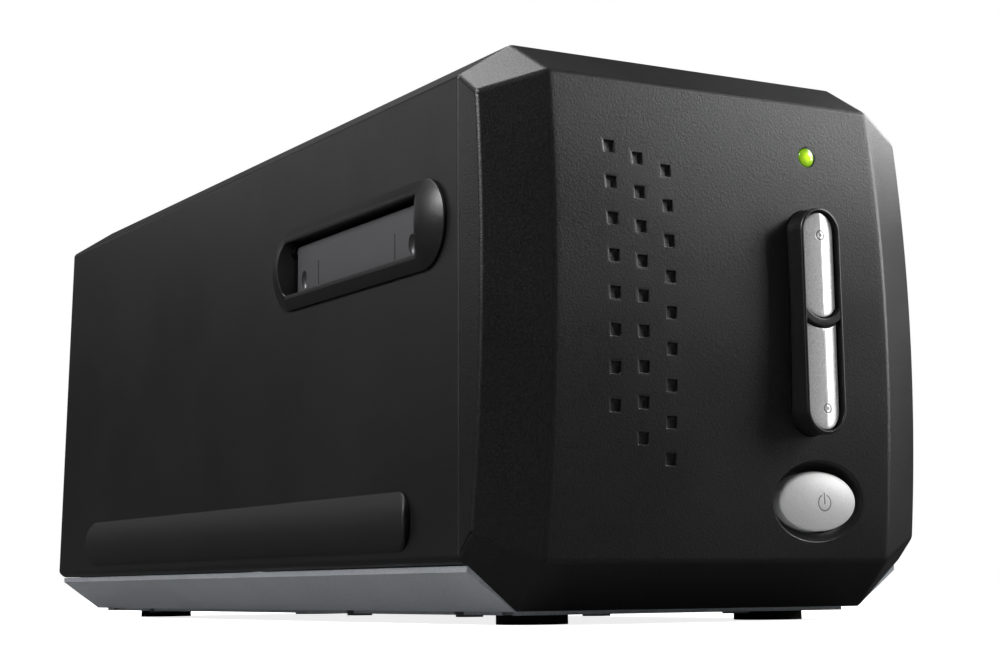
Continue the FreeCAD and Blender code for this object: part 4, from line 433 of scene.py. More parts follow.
class Skin:
    """A surface gathered patch by patch, whose shared points are merged when it becomes a mesh."""

    def __init__(self) -> None:
        """Starts with nothing gathered."""
        self.points: list[Array] = []
        self.faces: list[list[int]] = []
        self.patches: list[int] = []
        self.count = 0

    def take(self, points: Array, faces: Array, patch: int) -> None:
        """Adds points and the faces between them.

        Args:
            points: The points (n, 3).
            faces: The faces (faces, corners), as places in points.
            patch: The patch number. Edges between different patches can be rounded.
        """
        rows = (np.asarray(faces) + self.count).tolist()
        self.points.append(np.asarray(points, float).reshape(-1, 3))
        self.faces.extend(rows)
        self.patches.extend([patch] * len(rows))
        self.count += len(self.points[-1])

    def grid(self, points: Array, patch: int, keep: Array | None = None, closed: bool = False) -> None:
        """Adds a grid of points, whose neighbours along both indices are joined by four-sided faces.

        Args:
            points: The grid (rows, columns, 3).
            patch: The patch number.
            keep: Which cells (rows - 1, columns - 1) have a face, or all.
            closed: Whether the last column joins the first.
        """
        rows, columns = points.shape[:2]
        index = np.arange(rows * columns).reshape(rows, columns)
        if closed:
            index = np.concatenate([index, index[:, :1]], axis=1)
        quads = np.stack([index[:-1, :-1], index[:-1, 1:], index[1:, 1:], index[1:, :-1]], axis=-1)
        self.take(points, quads.reshape(-1, 4) if keep is None else quads[keep], patch)

    def fan(self, ring: Array, patch: int) -> None:
        """Closes a ring with triangles round its middle.

        Args:
            ring: The ring (n, 3).
            patch: The patch number.
        """
        count = len(ring)
        index = np.arange(count)
        faces = np.stack([index, (index + 1) % count, np.full(count, count)], axis=-1)
        self.take(np.vstack([ring, ring.mean(axis=0)]), faces, patch)

    def rod(self, rings: Sequence[Array], patch: int, ends: int) -> None:
        """Adds rings joined one after the other, with both ends closed.

        Args:
            rings: The rings (n, 3), from end to end.
            patch: The patch number of the wall.
            ends: The patch number of the ends.
        """
        self.grid(np.stack(rings), patch, closed=True)
        self.fan(rings[0], ends)
        self.fan(rings[-1], ends)

    def build(self, name: str, soften: float = 0.0, fine: float = 0.25) -> bpy.types.Object:
        """Makes the mesh, with its doubles merged and its faces outwards.

        Args:
            name: The object's name.
            soften: Width of the rounding where patches meet, in millimetres.
            fine: Share of soften that edges of fine patches get.

        Returns:
            The new object, in the scene.
        """
        mesh = bpy.data.meshes.new(name)
        mesh.from_pydata((np.vstack(self.points) * MM).tolist(), [], self.faces)
        marks = mesh.attributes.new("patch", "INT", "FACE")
        marks.data.foreach_set("value", np.array(self.patches, np.int32))
        work = bmesh.new()
        work.from_mesh(mesh)
        bmesh.ops.remove_doubles(work, verts=work.verts, dist=2e-6)
        bmesh.ops.dissolve_degenerate(work, edges=work.edges, dist=1e-6)
        bmesh.ops.recalc_face_normals(work, faces=work.faces)
        work.to_mesh(mesh)
        work.free()
        mesh.shade_smooth()
        item = bpy.data.objects.new(name, mesh)
        bpy.context.scene.collection.objects.link(item)
        if soften:
            round_edges(item, soften, fine)
        return item


def weigh_edges(mesh: bpy.types.Mesh, fine: float) -> None:
    """Gives each edge between two patches its weight for rounding.

    Args:
        mesh: The mesh, with its faces' patch numbers.
        fine: The weight beside a fine patch or a hole, where it is 1 elsewhere.
    """
    sides, faces, edges = len(mesh.loops), len(mesh.polygons), len(mesh.edges)
    edge_of, total, patch = np.zeros(sides, np.int32), np.zeros(faces, np.int32), np.zeros(faces, np.int32)
    mesh.loops.foreach_get("edge_index", edge_of)
    mesh.polygons.foreach_get("loop_total", total)
    mesh.attributes["patch"].data.foreach_get("value", patch)
    of_side = np.repeat(patch, total)
    low, high = np.full(edges, np.iinfo(np.int32).max), np.full(edges, -1)
    np.minimum.at(low, edge_of, of_side)
    np.maximum.at(high, edge_of, of_side)
    weight = np.where(high == low, 0.0, np.where(high >= FINE_PATCH, fine, 1.0))
    weight = np.where(np.bincount(edge_of, minlength=edges) == 1, fine, weight)
    layer = mesh.attributes.new("bevel_weight_edge", "FLOAT", "EDGE")
    layer.data.foreach_set("value", weight.astype(np.float32))


def round_edges(item: bpy.types.Object, width: float, fine: float) -> None:
    """Rounds the edges between patches.

    Args:
        item: The object.
        width: The rounding's width in millimetres.
        fine: The share of it that fine patches and open edges get.
    """
    weigh_edges(item.data, fine)
    bevel = item.modifiers.new("rounded edges", "BEVEL")
    bevel.limit_method = "WEIGHT"
    bevel.width = width * MM
    bevel.segments = 3
    bevel.use_clamp_overlap = False


def thicken(item: bpy.types.Object, wall: float) -> None:
    """Gives an open skin its wall.

    Args:
        item: The object.
        wall: The thickness inwards, in millimetres.
    """
    solid = item.modifiers.new("moulded wall", "SOLIDIFY")
    solid.thickness = wall * MM
    solid.offset = -1.0
    solid.use_even_offset = True


def at(x: Any, y: Any, z: Any) -> Array:
    """Points (..., 3) from their coordinates, each a number or an array."""
    return np.stack(np.broadcast_arrays(np.asarray(x, float), y, z), axis=-1)


def on_side(side: Side, x: Any, y: Any, z: Any) -> Array:
    """Points on one side of the housing, from sizes drawn for the right one."""
    return at(side.value * np.asarray(x, float), y, z)


def in_front(x: float, z: float, plan: Array, y: Any) -> Array:
    """Points of a plan (..., 2) laid about x and z, at a depth y."""
    return at(x + plan[..., 0], y, z + plan[..., 1])


def straight(start: Array, end: Array, steps: int) -> Array:
    """The points between two others, without them: start + share * (end - start)."""
    return start + (end - start) * np.linspace(0, 1, steps + 1)[1:-1, None]


def rounded_rectangle(half_u: float, half_v: float, corner: float, arc: int = 12, run: int = 8) -> Array:
    """A rectangle with rounded corners about the origin, anticlockwise.

    Each corner is a quarter circle of the given radius and each side a straight run between two of them. The
    number of points, 4 * (arc + run), doesn't depend on the sizes, so two such outlines can be joined.

    Args:
        half_u: Half the length across.
        half_v: Half the height.
        corner: The corners' radius.
        arc: Steps in a corner.
        run: Steps in a side.

    Returns:
        The outline (n, 2).
    """
    angle = np.linspace(0, np.pi / 2, arc + 1)
    quarters = []
    for turn, (across, up) in enumerate(((1, 1), (-1, 1), (-1, -1), (1, -1))):
        swing = angle + turn * np.pi / 2
        centre = np.array([across * (half_u - corner), up * (half_v - corner)])
        quarters.append(centre + corner * np.stack([np.cos(swing), np.sin(swing)], axis=-1))
    outline = []
    for quarter, after in zip(quarters, quarters[1:] + quarters[:1]):
        outline += [quarter, straight(quarter[-1], after[0], run)]
    return np.vstack(outline)


def stadium(half: float, tall: float, arc: int = 24, run: int = 13) -> Array:
    """A tall outline with half-round ends about the origin, anticlockwise from the right.

    The upper end is (half * cos t, tall - half + half * sin t), and the lower one is the same turned round.

    Args:
        half: Half the width, and the ends' radius.
        tall: Half the height.
        arc: Steps in an end.
        run: Steps in a side.

    Returns:
        The outline (n, 2).
    """
    t = np.linspace(0, np.pi, arc + 1)
    upper = np.stack([half * np.cos(t), tall - half + half * np.sin(t)], axis=-1)
    return np.vstack([upper, straight(upper[-1], -upper[0], run), -upper, straight(-upper[-1], upper[0], run)])


def ellipse(half: float, tall: float, count: int = 96) -> Array:
    """An upright ellipse about the origin: half * cos t across and tall * sin t up."""
    t = np.arange(count) * 2 * np.pi / count
    return np.stack([half * np.cos(t), tall * np.sin(t)], axis=-1)


def inward(outline: Array, core: Array, insets: Sequence[float], shares: Sequence[float]) -> Array:
    """Rings that run from an outline towards a core line.

    A ring's point is the outline's point moved towards its core point, first by each inset and no further
    than the core, and then by each share of the way.

    Args:
        outline: The outline (n, 2).
        core: The core point of each of its points (n, 2).
        insets: Distances in millimetres.
        shares: Shares of the way.

    Returns:
        The rings (rings, n, 2).
    """
    path = core - outline
    length = np.linalg.norm(path, axis=1, keepdims=True)
    steps = [np.minimum(inset / length, 1.0) for inset in insets]
    steps += [np.full_like(length, share) for share in shares]
    return outline + path * np.stack(steps)


def fillet(inset: Array | float, radius: float) -> Array:
    """A quarter-round edge's drop: radius - sqrt(radius^2 - (radius - inset)^2) up to the radius, then none."""
    short = np.clip(radius - np.asarray(inset, float), 0, radius)
    return radius - np.sqrt(radius * radius - short * short)


# The housing's own outline and places


@dataclass(frozen=True)
class Outline:
    """The eight-sided section of the housing, with its drafted sides and leaning ends."""

    top_z: float = 119.0
    floor_z: float = 2.75
    low_half: float = 56.3
    high_half: float = 54.6
    roof_half: float = 42.2
    floor_half: float = 43.6
    side_low: float = 13.3
    side_high: float = 110.9
    seam_low_y: float = 116.6
    seam_lean: float = 1.6
    rear_low_y: float = 133.4
    rear_lean: float = 1.9
    apex_y: float = 131.45
    barrel_radius: float = 352.0
    barrel_z: float = 66.2

    def share(self, z: Any) -> Any:
        """How far up the side a height lies."""
        return (z - self.side_low) / (self.side_high - self.side_low)

    def half_at(self, z: Any) -> Any:
        """Half the width: it falls evenly from low_half to high_half."""
        return self.low_half - (self.low_half - self.high_half) * self.share(z)

    def seam_at(self, z: Any) -> Any:
        """The leaning plane where the bezel meets the cover."""
        return -self.seam_low_y + self.seam_lean * self.share(z)

    def rear_at(self, z: Any) -> Any:
        """The leaning rear end."""
        return self.rear_low_y - self.rear_lean * self.share(z)

    def front_at(self, z: Any) -> Any:
        """The barrel-curved face: a circle of barrel_radius in the YZ plane, foremost at barrel_z."""
        rise = np.asarray(z, float) - self.barrel_z
        return -self.apex_y + self.barrel_radius - np.sqrt(self.barrel_radius ** 2 - rise ** 2)


@dataclass(frozen=True)
class Places:
    """Where the controls stand on the front, in x and z, and the slots in the sides, in y and z."""

    keys_x: float = 21.3
    keys_z: float = 62.35
    keys_arc_z: float = 68.1
    power_x: float = 23.7
    power_z: float = 24.8
    lamp_x: float = 23.0
    lamp_z: float = 98.5
    slot_y: float = 68.1
    slot_z: float = 82.0


SHAPE = Outline()
PLACES = Places()


# Finishes, one for each of the record's slots and two closer ones


@dataclass
class Finishes:
    """Every material of the scanner, made once and handed out by the record's slot names."""

    made: dict[str, bpy.types.Material] = field(default_factory=dict)

    def __post_init__(self) -> None:
        """Makes the materials."""
        recipes: dict[str, Any] = {
            "case_black": MouldedPlastic("moulded_abs_black_cover", "#101011", "#0b0b0c", 0.4),
            "bezel_black": MouldedPlastic("moulded_abs_black_bezel", "#161617", "#070708", 0.36, 0.42, 0.15),
            "base_silver": SilverPaint("silver_lacquer_base", "#b4b8bd", "#9a9ea4", 0.42),
            "button_silver": SatinKey("satin_silver_keys", "#ececec", "#c8c8c8", 0.42, 0.3, 0.06, 0.6, (
                Mark(Sign.DOTTED_RING, 21.3, 80.4, 0.95, 0.3), Mark(Sign.DOTTED_RING, 21.6, 43.7, 0.95, 0.3),
                Mark(Sign.LINE, 21.3, 71.3, 8.0, 0.16), Mark(Sign.LINE, 21.5, 53.0, 8.2, 0.16))),
            "power_silver": SatinKey("satin_silver_power_key", "#c4c4c4", "#b4b4b4", 0.55, 0.4, 0.03, 0.45, (
                Mark(Sign.POWER, 24.2, 24.4, 1.65, 0.3),)),
            "foot_rubber": MouldedPlastic("moulded_rubber_feet", "#1c1c1d", "#101011", 0.75, 0.5, 0.06, 0.3),
            "pad_rubber": MouldedPlastic("soft_touch_grip", "#111112", "#0c0c0d", 0.55, 0.4, 0.03, 0.4),
            "door_grey": MouldedPlastic("moulded_abs_grey_door", "#3f3f41", "#343436", 0.36, 0.4, 0.03),
            "lens_green": GreenLens("tinted_acrylic_lens", PLACES.lamp_x, PLACES.lamp_z, 2.1),
            "board_green": CircuitBoard("solder_resist_green"),
            "switch_plastic": MouldedPlastic("moulded_nylon_switch", "#2a2a2c", "#1e1e20", 0.5, 0.4),
            "inner_plastic": MouldedPlastic("moulded_abs_inner_grey", "#3c3d40", "#303134", 0.5, 0.5),
            "diffuser_white": MouldedPlastic("opal_acrylic", "#e8e8e4", "#dcdcd8", 0.35, 0.4, 0.01),
            "mirror_glass": Metal("silvered_glass", "#e6e8ea", "#dcdfe2", 0.05, 4.0),
            "lens_aluminium": Metal("anodised_aluminium_black", "#3a3b3e", "#2c2d30", 0.35),
            "bush_brass": Metal("turned_brass", "#c9a24c", "#a8843a", 0.28),
            "rod_steel": Metal("ground_steel", "#b8babd", "#9fa2a6", 0.22),
            "sheet_steel": Metal("zinc_plated_sheet", "#a8abb0", "#8e9298", 0.36, 1.2),
            "screw_steel": Metal("zinc_plated_screw", "#8c8f94", "#6e7176", 0.34),
            "spring_wire": Metal("blackened_spring_wire", "#2a2b2d", "#1e1f21", 0.4),
            "port_steel": Metal("nickel_plated_shell", "#aeb0b4", "#95989c", 0.3),
        }
        for slot, recipe in recipes.items():
            self.made[slot] = recipe.build()

    def dress(self, item: bpy.types.Object, slot: str) -> None:
        """Gives an object its one material."""
        item.data.materials.clear()
        item.data.materials.append(self.made[slot])

    def carry_over(self) -> None:
        """Gives every CAD node the finish that the record names for it, and the springs their own."""
        for part in frame["record"]["subparts"]:
            name, slot = part["node"], part.get("material_slot", "case_black")
            self.dress(frame["nodes"][name], "spring_wire" if "spring" in name else slot)

    def fit(self, item: bpy.types.Object, node: str, body: str, slot: str, look: str | None = None) -> None:
        """Dresses a new piece and puts it on its body in place of a CAD node.

        Args:
            item: The piece. Its large flat faces keep their own direction beside rounded edges.
            node: The CAD node that it replaces.
            body: The body that it rides on.
            slot: The record's slot.
            look: A closer finish than the slot's own, if there is one.
        """
        item.modifiers.new("even shading", "WEIGHTED_NORMAL").weight = 60
        self.dress(item, look or slot)
        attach(item, body)
        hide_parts(node)
        log.info("%s stands for %s on %s: %d points", item.name, node, body, len(item.data.vertices))


# The cover


@dataclass
class TopCover:
    """The black shell over the works, open below, behind and in front, with a slot in each side.

    Its section has 13 strips from the right skirt over the roof to the left one. An edge is rounded where the
    patches of two strips differ.
    """

    wall: float = 2.5
    skirt_in: float = 6.6
    skirt_drop: float = 1.35
    skirt_step: float = 2.2
    side_mitre: float = 0.54
    roof_mitre: float = 0.3
    hole_length: float = 70.1
    hole_height: float = 16.1
    edge: float = 0.7
    patches: tuple[int, ...] = (1, 1, 3, 3, 3, 4, 5, 6, 7, 7, 7, 8, 8)
    slot_strips: tuple[int, int] = (3, 9)

    def profile(self) -> tuple[Array, Array]:
        """The section's corners. Each skirt tucks in at the slope of the base's side.

        Returns:
            The outer and the inner corners, two arrays (14, 2) of x and z that run side by side.
        """
        s, w, drop = SHAPE, self.wall, self.skirt_drop
        low, high = PLACES.slot_z - self.hole_height / 2, PLACES.slot_z + self.hole_height / 2
        tuck = drop * (s.low_half - s.floor_half) / (s.side_low - s.floor_z)
        inner_x, step_z = s.low_half - self.skirt_in, s.side_low + self.skirt_step
        right = np.array([
            ((s.low_half - tuck, s.side_low - drop), (inner_x, s.side_low - drop)),
            ((s.low_half - tuck / 2, s.side_low - drop / 2), (inner_x, step_z)),
            ((s.low_half, s.side_low), (s.low_half - w, step_z)),
            ((s.half_at(low), low), (s.half_at(low) - w, low)),
            ((s.half_at(high), high), (s.half_at(high) - w, high)),
            ((s.high_half, s.side_high), (s.high_half - w, s.side_high - w * self.side_mitre)),
            ((s.roof_half, s.top_z), (s.roof_half - w * self.roof_mitre, s.top_z - w)),
        ])
        both = np.vstack([right, right[::-1] * np.array([-1.0, 1.0])])
        return both[:, 0], both[:, 1]

    def sweep(self, section: Array) -> Array:
        """Carries a section from the seam to the rear end, with two rows at the slot's ends.

        Args:
            section: The section's x and z (n, 2).

        Returns:
            The grid (4, n, 3).
        """
        x, z = section.T
        half = self.hole_length / 2
        rows = (SHAPE.seam_at(z), -PLACES.slot_y - half, -PLACES.slot_y + half, SHAPE.rear_at(z))
        return np.stack([at(x, y, z) for y in rows])

    def build(self, finishes: Finishes) -> None:
        """The closed shell: outer skin, inner skin, both ends, both skirt rims and the four walls of each slot.

        Args:
            finishes: The materials.
        """
        outer, inner = (self.sweep(section) for section in self.profile())
        skin = Skin()
        for strip, patch in enumerate(self.patches):
            keep = np.zeros((3, len(self.patches)), bool)
            keep[:, strip] = True
            keep[1, list(self.slot_strips)] = False
            skin.grid(outer, patch, keep)
            skin.grid(inner, patch + INNER_SKIN, keep)
        for row, patch in ((0, 40), (-1, 41)):
            skin.grid(np.stack([outer[row], inner[row]]), patch)
        for column, patch in ((0, 42), (-1, 43)):
            skin.grid(np.stack([outer[:, column], inner[:, column]]), patch)
        for strip in self.slot_strips:
            rows, columns = [1, 1, 2, 2, 1], [strip, strip + 1, strip + 1, strip, strip]
            skin.grid(np.stack([outer[rows, columns], inner[rows, columns]]), 50)
        finishes.fit(skin.build("cover_shell", self.edge), "top_cover", "housing", "case_black")


# The front bezel


class Hole(Enum):
    """How a hole's outline is drawn."""

    SQUARE = "square"
    OVAL = "oval"
    STADIUM = "stadium"


@dataclass(frozen=True)
class Recess:
    """A hole in a face grid, with the sizes of its half width and half height."""

    shape: Hole
    x: float
    z: float
    half: float
    tall: float
    margin: float

    def block(self, xs: Array, zs: Array) -> tuple[int, int, int, int]:
        """The smallest block of grid lines that holds the hole and its margin.

        Args:
            xs: The grid's lines across.
            zs: The grid's lines up.

        Returns:
            The places of the block's left, right, low and high lines.
        """
        left = int(np.searchsorted(xs, self.x - self.half - self.margin, "right")) - 1
        right = int(np.searchsorted(xs, self.x + self.half + self.margin, "left"))
        low = int(np.searchsorted(zs, self.z - self.tall - self.margin, "right")) - 1
        high = int(np.searchsorted(zs, self.z + self.tall + self.margin, "left"))
        return left, right, low, high

    def outline(self, edge: Array) -> Array:
        """The hole's outline, one point for each point of the block's edge.

        A square takes the edge scaled to it side by side. An oval takes the point in the same direction once
        both are scaled to circles. A stadium takes the nearest point, found from its middle line.

        Args:
            edge: The block's edge (n, 2).

        Returns:
            The outline (n, 2).
        """
        low, high = edge.min(axis=0), edge.max(axis=0)
        centre, size = np.array([self.x, self.z]), np.array([self.half, self.tall])
        share = (edge - low) / (high - low) * 2 - 1
        if self.shape is Hole.SQUARE:
            return centre + share * size
        if self.shape is Hole.OVAL:
            turn = np.arctan2(share[:, 1], share[:, 0])
            return centre + np.stack([np.cos(turn), np.sin(turn)], axis=-1) * size
        run = self.tall - self.half
        core = np.stack([np.full(len(edge), self.x), np.clip(edge[:, 1], self.z - run, self.z + run)], axis=-1)
        way = edge - core
        return core + way / np.linalg.norm(way, axis=1, keepdims=True) * self.half


def block_edge(xs: Array, zs: Array, block: tuple[int, int, int, int]) -> Array:
    """The points round a block of grid lines, anticlockwise from its lower left corner.

    Args:
        xs: The grid's lines across.
        zs: The grid's lines up.
        block: The places of the block's left, right, low and high lines.

    Returns:
        The edge (n, 2).
    """
    left, right, low, high = block
    across, up = np.arange(left, right), np.arange(low, high)
    columns = np.concatenate([across, np.full_like(up, right), across[::-1] + 1, np.full_like(up, left)])
    rows = np.concatenate([np.full_like(across, low), up, np.full_like(across, high), up[::-1] + 1])
    return np.stack([xs[columns], zs[rows]], axis=-1)


def open_face(skin: Skin, xs: Array, zs: Array, place: Callable[[Array], Array], recesses: Sequence[Recess],
              patch: int) -> list[Array]:
    """Adds a face grid with holes in it.

    Each hole's block of cells is left out and replaced by a frame of faces between the block's edge and the
    hole's outline.

    Args:
        skin: Where the faces go.
        xs: The grid's lines across.
        zs: The grid's lines up.
        place: Turns plan points (n, 2) into points in space (n, 3).
        recesses: The holes.
        patch: The patch number of the face.

    Returns:
        The closed outline of each hole as plan points.
    """
    keep = np.ones((len(zs) - 1, len(xs) - 1), bool)
    outlines = []
    for recess in recesses:
        block = recess.block(xs, zs)
        keep[block[2]:block[3], block[0]:block[1]] = False
        edge = block_edge(xs, zs, block)
        outline = recess.outline(edge)
        skin.grid(np.stack([place(edge), place(outline)]), patch, closed=True)
        outlines.append(outline)
    plan = np.stack(np.meshgrid(xs, zs), axis=-1)
    skin.grid(place(plan.reshape(-1, 2)).reshape(len(zs), len(xs), 3), patch, keep)
    return outlines


@dataclass
class FrontBezel:
    """The black front: a barrel-curved face in a ring of slanted facets, with pits, a dish and three holes."""

    face_high_half: float = 41.5
    face_low_half: float = 43.2
    face_high: float = 110.7
    face_low: float = 12.3
    rim_set: float = 6.8
    inner_half: float = 40.0
    seam_gap: float = 0.2
    wall: float = 1.8
    edge: float = 0.75
    fine_edge: float = 0.22
    lines_across: int = 97
    lines_up: int = 116
    pit_half: float = 1.2
    pit_depth: float = 0.7
    pit_columns: tuple[tuple[float, float, float, int], ...] = (
        (-28.16, 95.8, 7.55, 8), (-21.34, 93.9, 7.16, 9), (-14.52, 91.9, 7.41, 9))
    surround: Recess = Recess(Hole.STADIUM, PLACES.keys_x, PLACES.keys_z, 5.35, 24.15, 0.6)
    dish: Recess = Recess(Hole.OVAL, PLACES.power_x, PLACES.power_z, 12.0, 8.5, 0.7)
    lamp: Recess = Recess(Hole.OVAL, PLACES.lamp_x, PLACES.lamp_z, 2.15, 2.15, 0.6)
    dish_depth: float = 2.4
    well_half: float = 10.55
    well_tall: float = 6.6
    well_depth: float = 1.0

    def face_half(self, z: Any) -> Any:
        """Half the face's width: it falls evenly from face_low_half to face_high_half."""
        share = (z - self.face_low) / (self.face_high - self.face_low)
        return self.face_low_half - (self.face_low_half - self.face_high_half) * share

    def on_face(self, plan: Array) -> Array:
        """Plan points (n, 2) of x and z, laid on the curved face."""
        return at(plan[:, 0], SHAPE.front_at(plan[:, 1]), plan[:, 1])

    def rim_end(self, top: bool) -> float:
        """The height where the rim's curve meets a corner facet.

        The facet is the plane through the side's end and the roof's or floor's end, both at the seam, and the
        face's corner. The height is where the curve's distance from it changes sign.

        Args:
            top: Whether it is the upper facet.

        Returns:
            The height.
        """
        s = SHAPE
        if top:
            ends, low, high = ((s.high_half, s.side_high), (s.roof_half, s.top_z)), 96, 112
            corner = at(self.face_high_half, s.front_at(self.face_high), self.face_high)
        else:
            ends, low, high = ((s.low_half, s.side_low), (s.floor_half, s.floor_z)), 12, 30
            corner = at(self.face_low_half, s.front_at(self.face_low), self.face_low)
        origin, other = (at(half, s.seam_at(z), z) for half, z in ends)
        z = np.linspace(low, high, (high - low) * 100 + 1)
        curve = at(s.half_at(z), s.front_at(z) + self.rim_set, z)
        away = (curve - origin) @ np.cross(other - origin, corner - origin)
        order = np.argsort(away)
        return float(np.interp(0.0, away[order], z[order]))

    def sink_pit(self, skin: Skin, outline: Array) -> None:
        """A straight-walled pit below an outline.

        Args:
            skin: Where the faces go.
            outline: The pit's outline (n, 2).
        """
        rim = self.on_face(outline)
        floor = rim + np.array([0.0, self.pit_depth, 0.0])
        skin.grid(np.stack([rim, floor]), FINE_PATCH + 1, closed=True)
        skin.fan(floor, FINE_PATCH + 2)

    def sink_dish(self, skin: Skin, outline: Array) -> None:
        """The dish round the power key: its wall deepens as a sine of its share and ends in a straight well.

        Args:
            skin: Where the faces go.
            outline: The dish's outline (n, 2).
        """
        centre = np.array([self.dish.x, self.dish.z])
        shrink = np.array([self.well_half / self.dish.half, self.well_tall / self.dish.tall])
        inner = centre + (outline - centre) * shrink
        rim = self.on_face(outline)
        base = at(inner[:, 0], float(SHAPE.front_at(self.dish.z)) + self.dish_depth, inner[:, 1])
        share = np.linspace(0, 1, 6)[:, None, None]
        wall = rim + (base - rim) * share
        wall[..., 1] = rim[:, 1] + (base[:, 1] - rim[:, 1]) * np.sin(share[..., 0] * np.pi / 2)
        skin.grid(wall, FINE_PATCH + 3, closed=True)
        well = base + np.array([0.0, self.well_depth, 0.0])
        skin.grid(np.stack([base, well]), FINE_PATCH + 4, closed=True)

    def flank(self, skin: Skin, sign: float, zs: Array) -> None:
        """One side's edge strip, its slanted facet, its strip back to the seam and its two corner facets.

        Args:
            skin: Where the faces go.
            sign: The side, as the sign of x.
            zs: The face's heights.
        """
        s, gap = SHAPE, self.seam_gap
        rim_low, rim_high = self.rim_end(False), self.rim_end(True)
        share = (zs - self.face_low) / (self.face_high - self.face_low)
        rim_z = rim_low + (rim_high - rim_low) * share
        seam_z = s.side_low + (s.side_high - s.side_low) * share
        edge = at(sign * self.inner_half, s.front_at(zs), zs)
        crease = at(sign * self.face_half(zs), s.front_at(zs), zs)
        rim = at(sign * s.half_at(rim_z), s.front_at(rim_z) + self.rim_set, rim_z)
        seam = at(sign * s.half_at(seam_z), s.seam_at(seam_z) - gap, seam_z)
        for patch, strip in enumerate(((edge, crease), (crease, rim), (rim, seam)), 1):
            skin.grid(np.stack(strip), patch)
        for end, half, z, patch in ((-1, s.roof_half, s.top_z, 4), (0, s.floor_half, s.floor_z, 5)):
            far = at(sign * half, s.seam_at(z) - gap, z)
            skin.take(np.array([seam[end], far, crease[end], rim[end]]), np.array([[0, 1, 2, 3]]), patch)

    def build(self, finishes: Finishes) -> None:
        """The bezel's outer skin, given its wall inwards.

        Args:
            finishes: The materials.
        """
        s = SHAPE
        xs = np.linspace(-self.inner_half, self.inner_half, self.lines_across)
        zs = np.linspace(self.face_low, self.face_high, self.lines_up)
        pits = [Recess(Hole.SQUARE, x, top - step * row, self.pit_half, self.pit_half, 0.5)
                for x, top, step, count in self.pit_columns for row in range(count)]
        skin = Skin()
        outlines = open_face(skin, xs, zs, self.on_face, [*pits, self.surround, self.dish, self.lamp], 1)
        for outline in outlines[:len(pits)]:
            self.sink_pit(skin, outline)
        self.sink_dish(skin, outlines[len(pits) + 1])
        for sign in (-1.0, 1.0):
            self.flank(skin, sign, zs)
        for z, seam_z, half, patch in ((self.face_high, s.top_z, s.roof_half, 6),
                                       (self.face_low, s.floor_z, s.floor_half, 7)):
            reach = float(self.face_half(z))
            across = np.concatenate([[-reach], xs, [reach]])
            far = at(across * half / reach, s.seam_at(seam_z) - self.seam_gap, seam_z)
            skin.grid(np.stack([at(across, float(s.front_at(z)), z), far]), patch)
        item = skin.build("bezel_shell")
        thicken(item, self.wall)
        round_edges(item, self.edge, self.fine_edge)
        finishes.fit(item, "front_bezel", "housing", "bezel_black")


# Controls


@dataclass
class KeySurround:
    """The raised black ring round the two scan keys, with the curved bar between them."""

    half: float = 5.2
    tall: float = 24.0
    front_y: float = 136.0
    back_y: float = 127.4
    gap_half: float = 4.5
    edge: float = 0.45
    flange: float = 1.4
    flange_depth: float = 1.5
    bar_inner: float = 5.4
    bar_outer: float = 7.1
    bar_lap: float = 0.3
    bar_sink: float = 0.12
    bar_edge: float = 0.3

    def ring(self, skin: Skin) -> None:
        """The ring: outlines at a growing inset, carried from the flange over the rim and down inside.

        Args:
            skin: Where the faces go.
        """
        turn = np.linspace(0, np.pi / 2, 5)
        front, back, deep = -self.front_y, -self.back_y, -self.back_y + self.flange_depth
        r, width = self.edge, self.half - self.gap_half
        small = min(width - 0.05, r * 0.5)
        section = [(-self.flange, deep), (-self.flange, back), (0.0, back)]
        section += [(r - r * math.cos(t), front + r - r * math.sin(t)) for t in turn]
        section += [(width - small + small * math.sin(t), front + small - small * math.cos(t)) for t in turn[1:]]
        section += [(width, deep), section[0]]
        skin.grid(np.stack([
            in_front(PLACES.keys_x, PLACES.keys_z, stadium(self.half - inset, self.tall - inset), y)
            for inset, y in section]), 1, closed=True)

    def bar(self, skin: Skin) -> None:
        """The bar between the keys: a section with rounded edges, carried along arcs about keys_arc_z.

        At a radius r and a place x across, its height is keys_arc_z - sqrt(r^2 - x^2).

        Args:
            skin: Where the faces go.
        """
        middle, width = (self.bar_inner + self.bar_outer) / 2, (self.bar_outer - self.bar_inner) / 2
        turn, r = np.linspace(0, np.pi / 2, 5), self.bar_edge
        deep, level = -self.back_y + self.flange_depth, -self.front_y + self.bar_sink + r
        half, rise = width - r + r * np.cos(turn), level - r * np.sin(turn)
        across = np.concatenate([[width], half, -half[::-1], [-width]])
        depth = np.concatenate([[deep], rise, rise[::-1], [deep]])
        x = np.linspace(-1, 1, 25)[:, None] * (self.gap_half + self.bar_lap)
        z = PLACES.keys_arc_z - np.sqrt((middle + across) ** 2 - x ** 2)
        skin.rod(at(PLACES.keys_x + x, depth, z), 2, 2)

    def build(self, finishes: Finishes) -> None:
        """The ring and its bar as one piece.

        Args:
            finishes: The materials.
        """
        skin = Skin()
        self.ring(skin)
        self.bar(skin)
        finishes.fit(skin.build("key_ring"), "button_surround", "housing", "bezel_black")


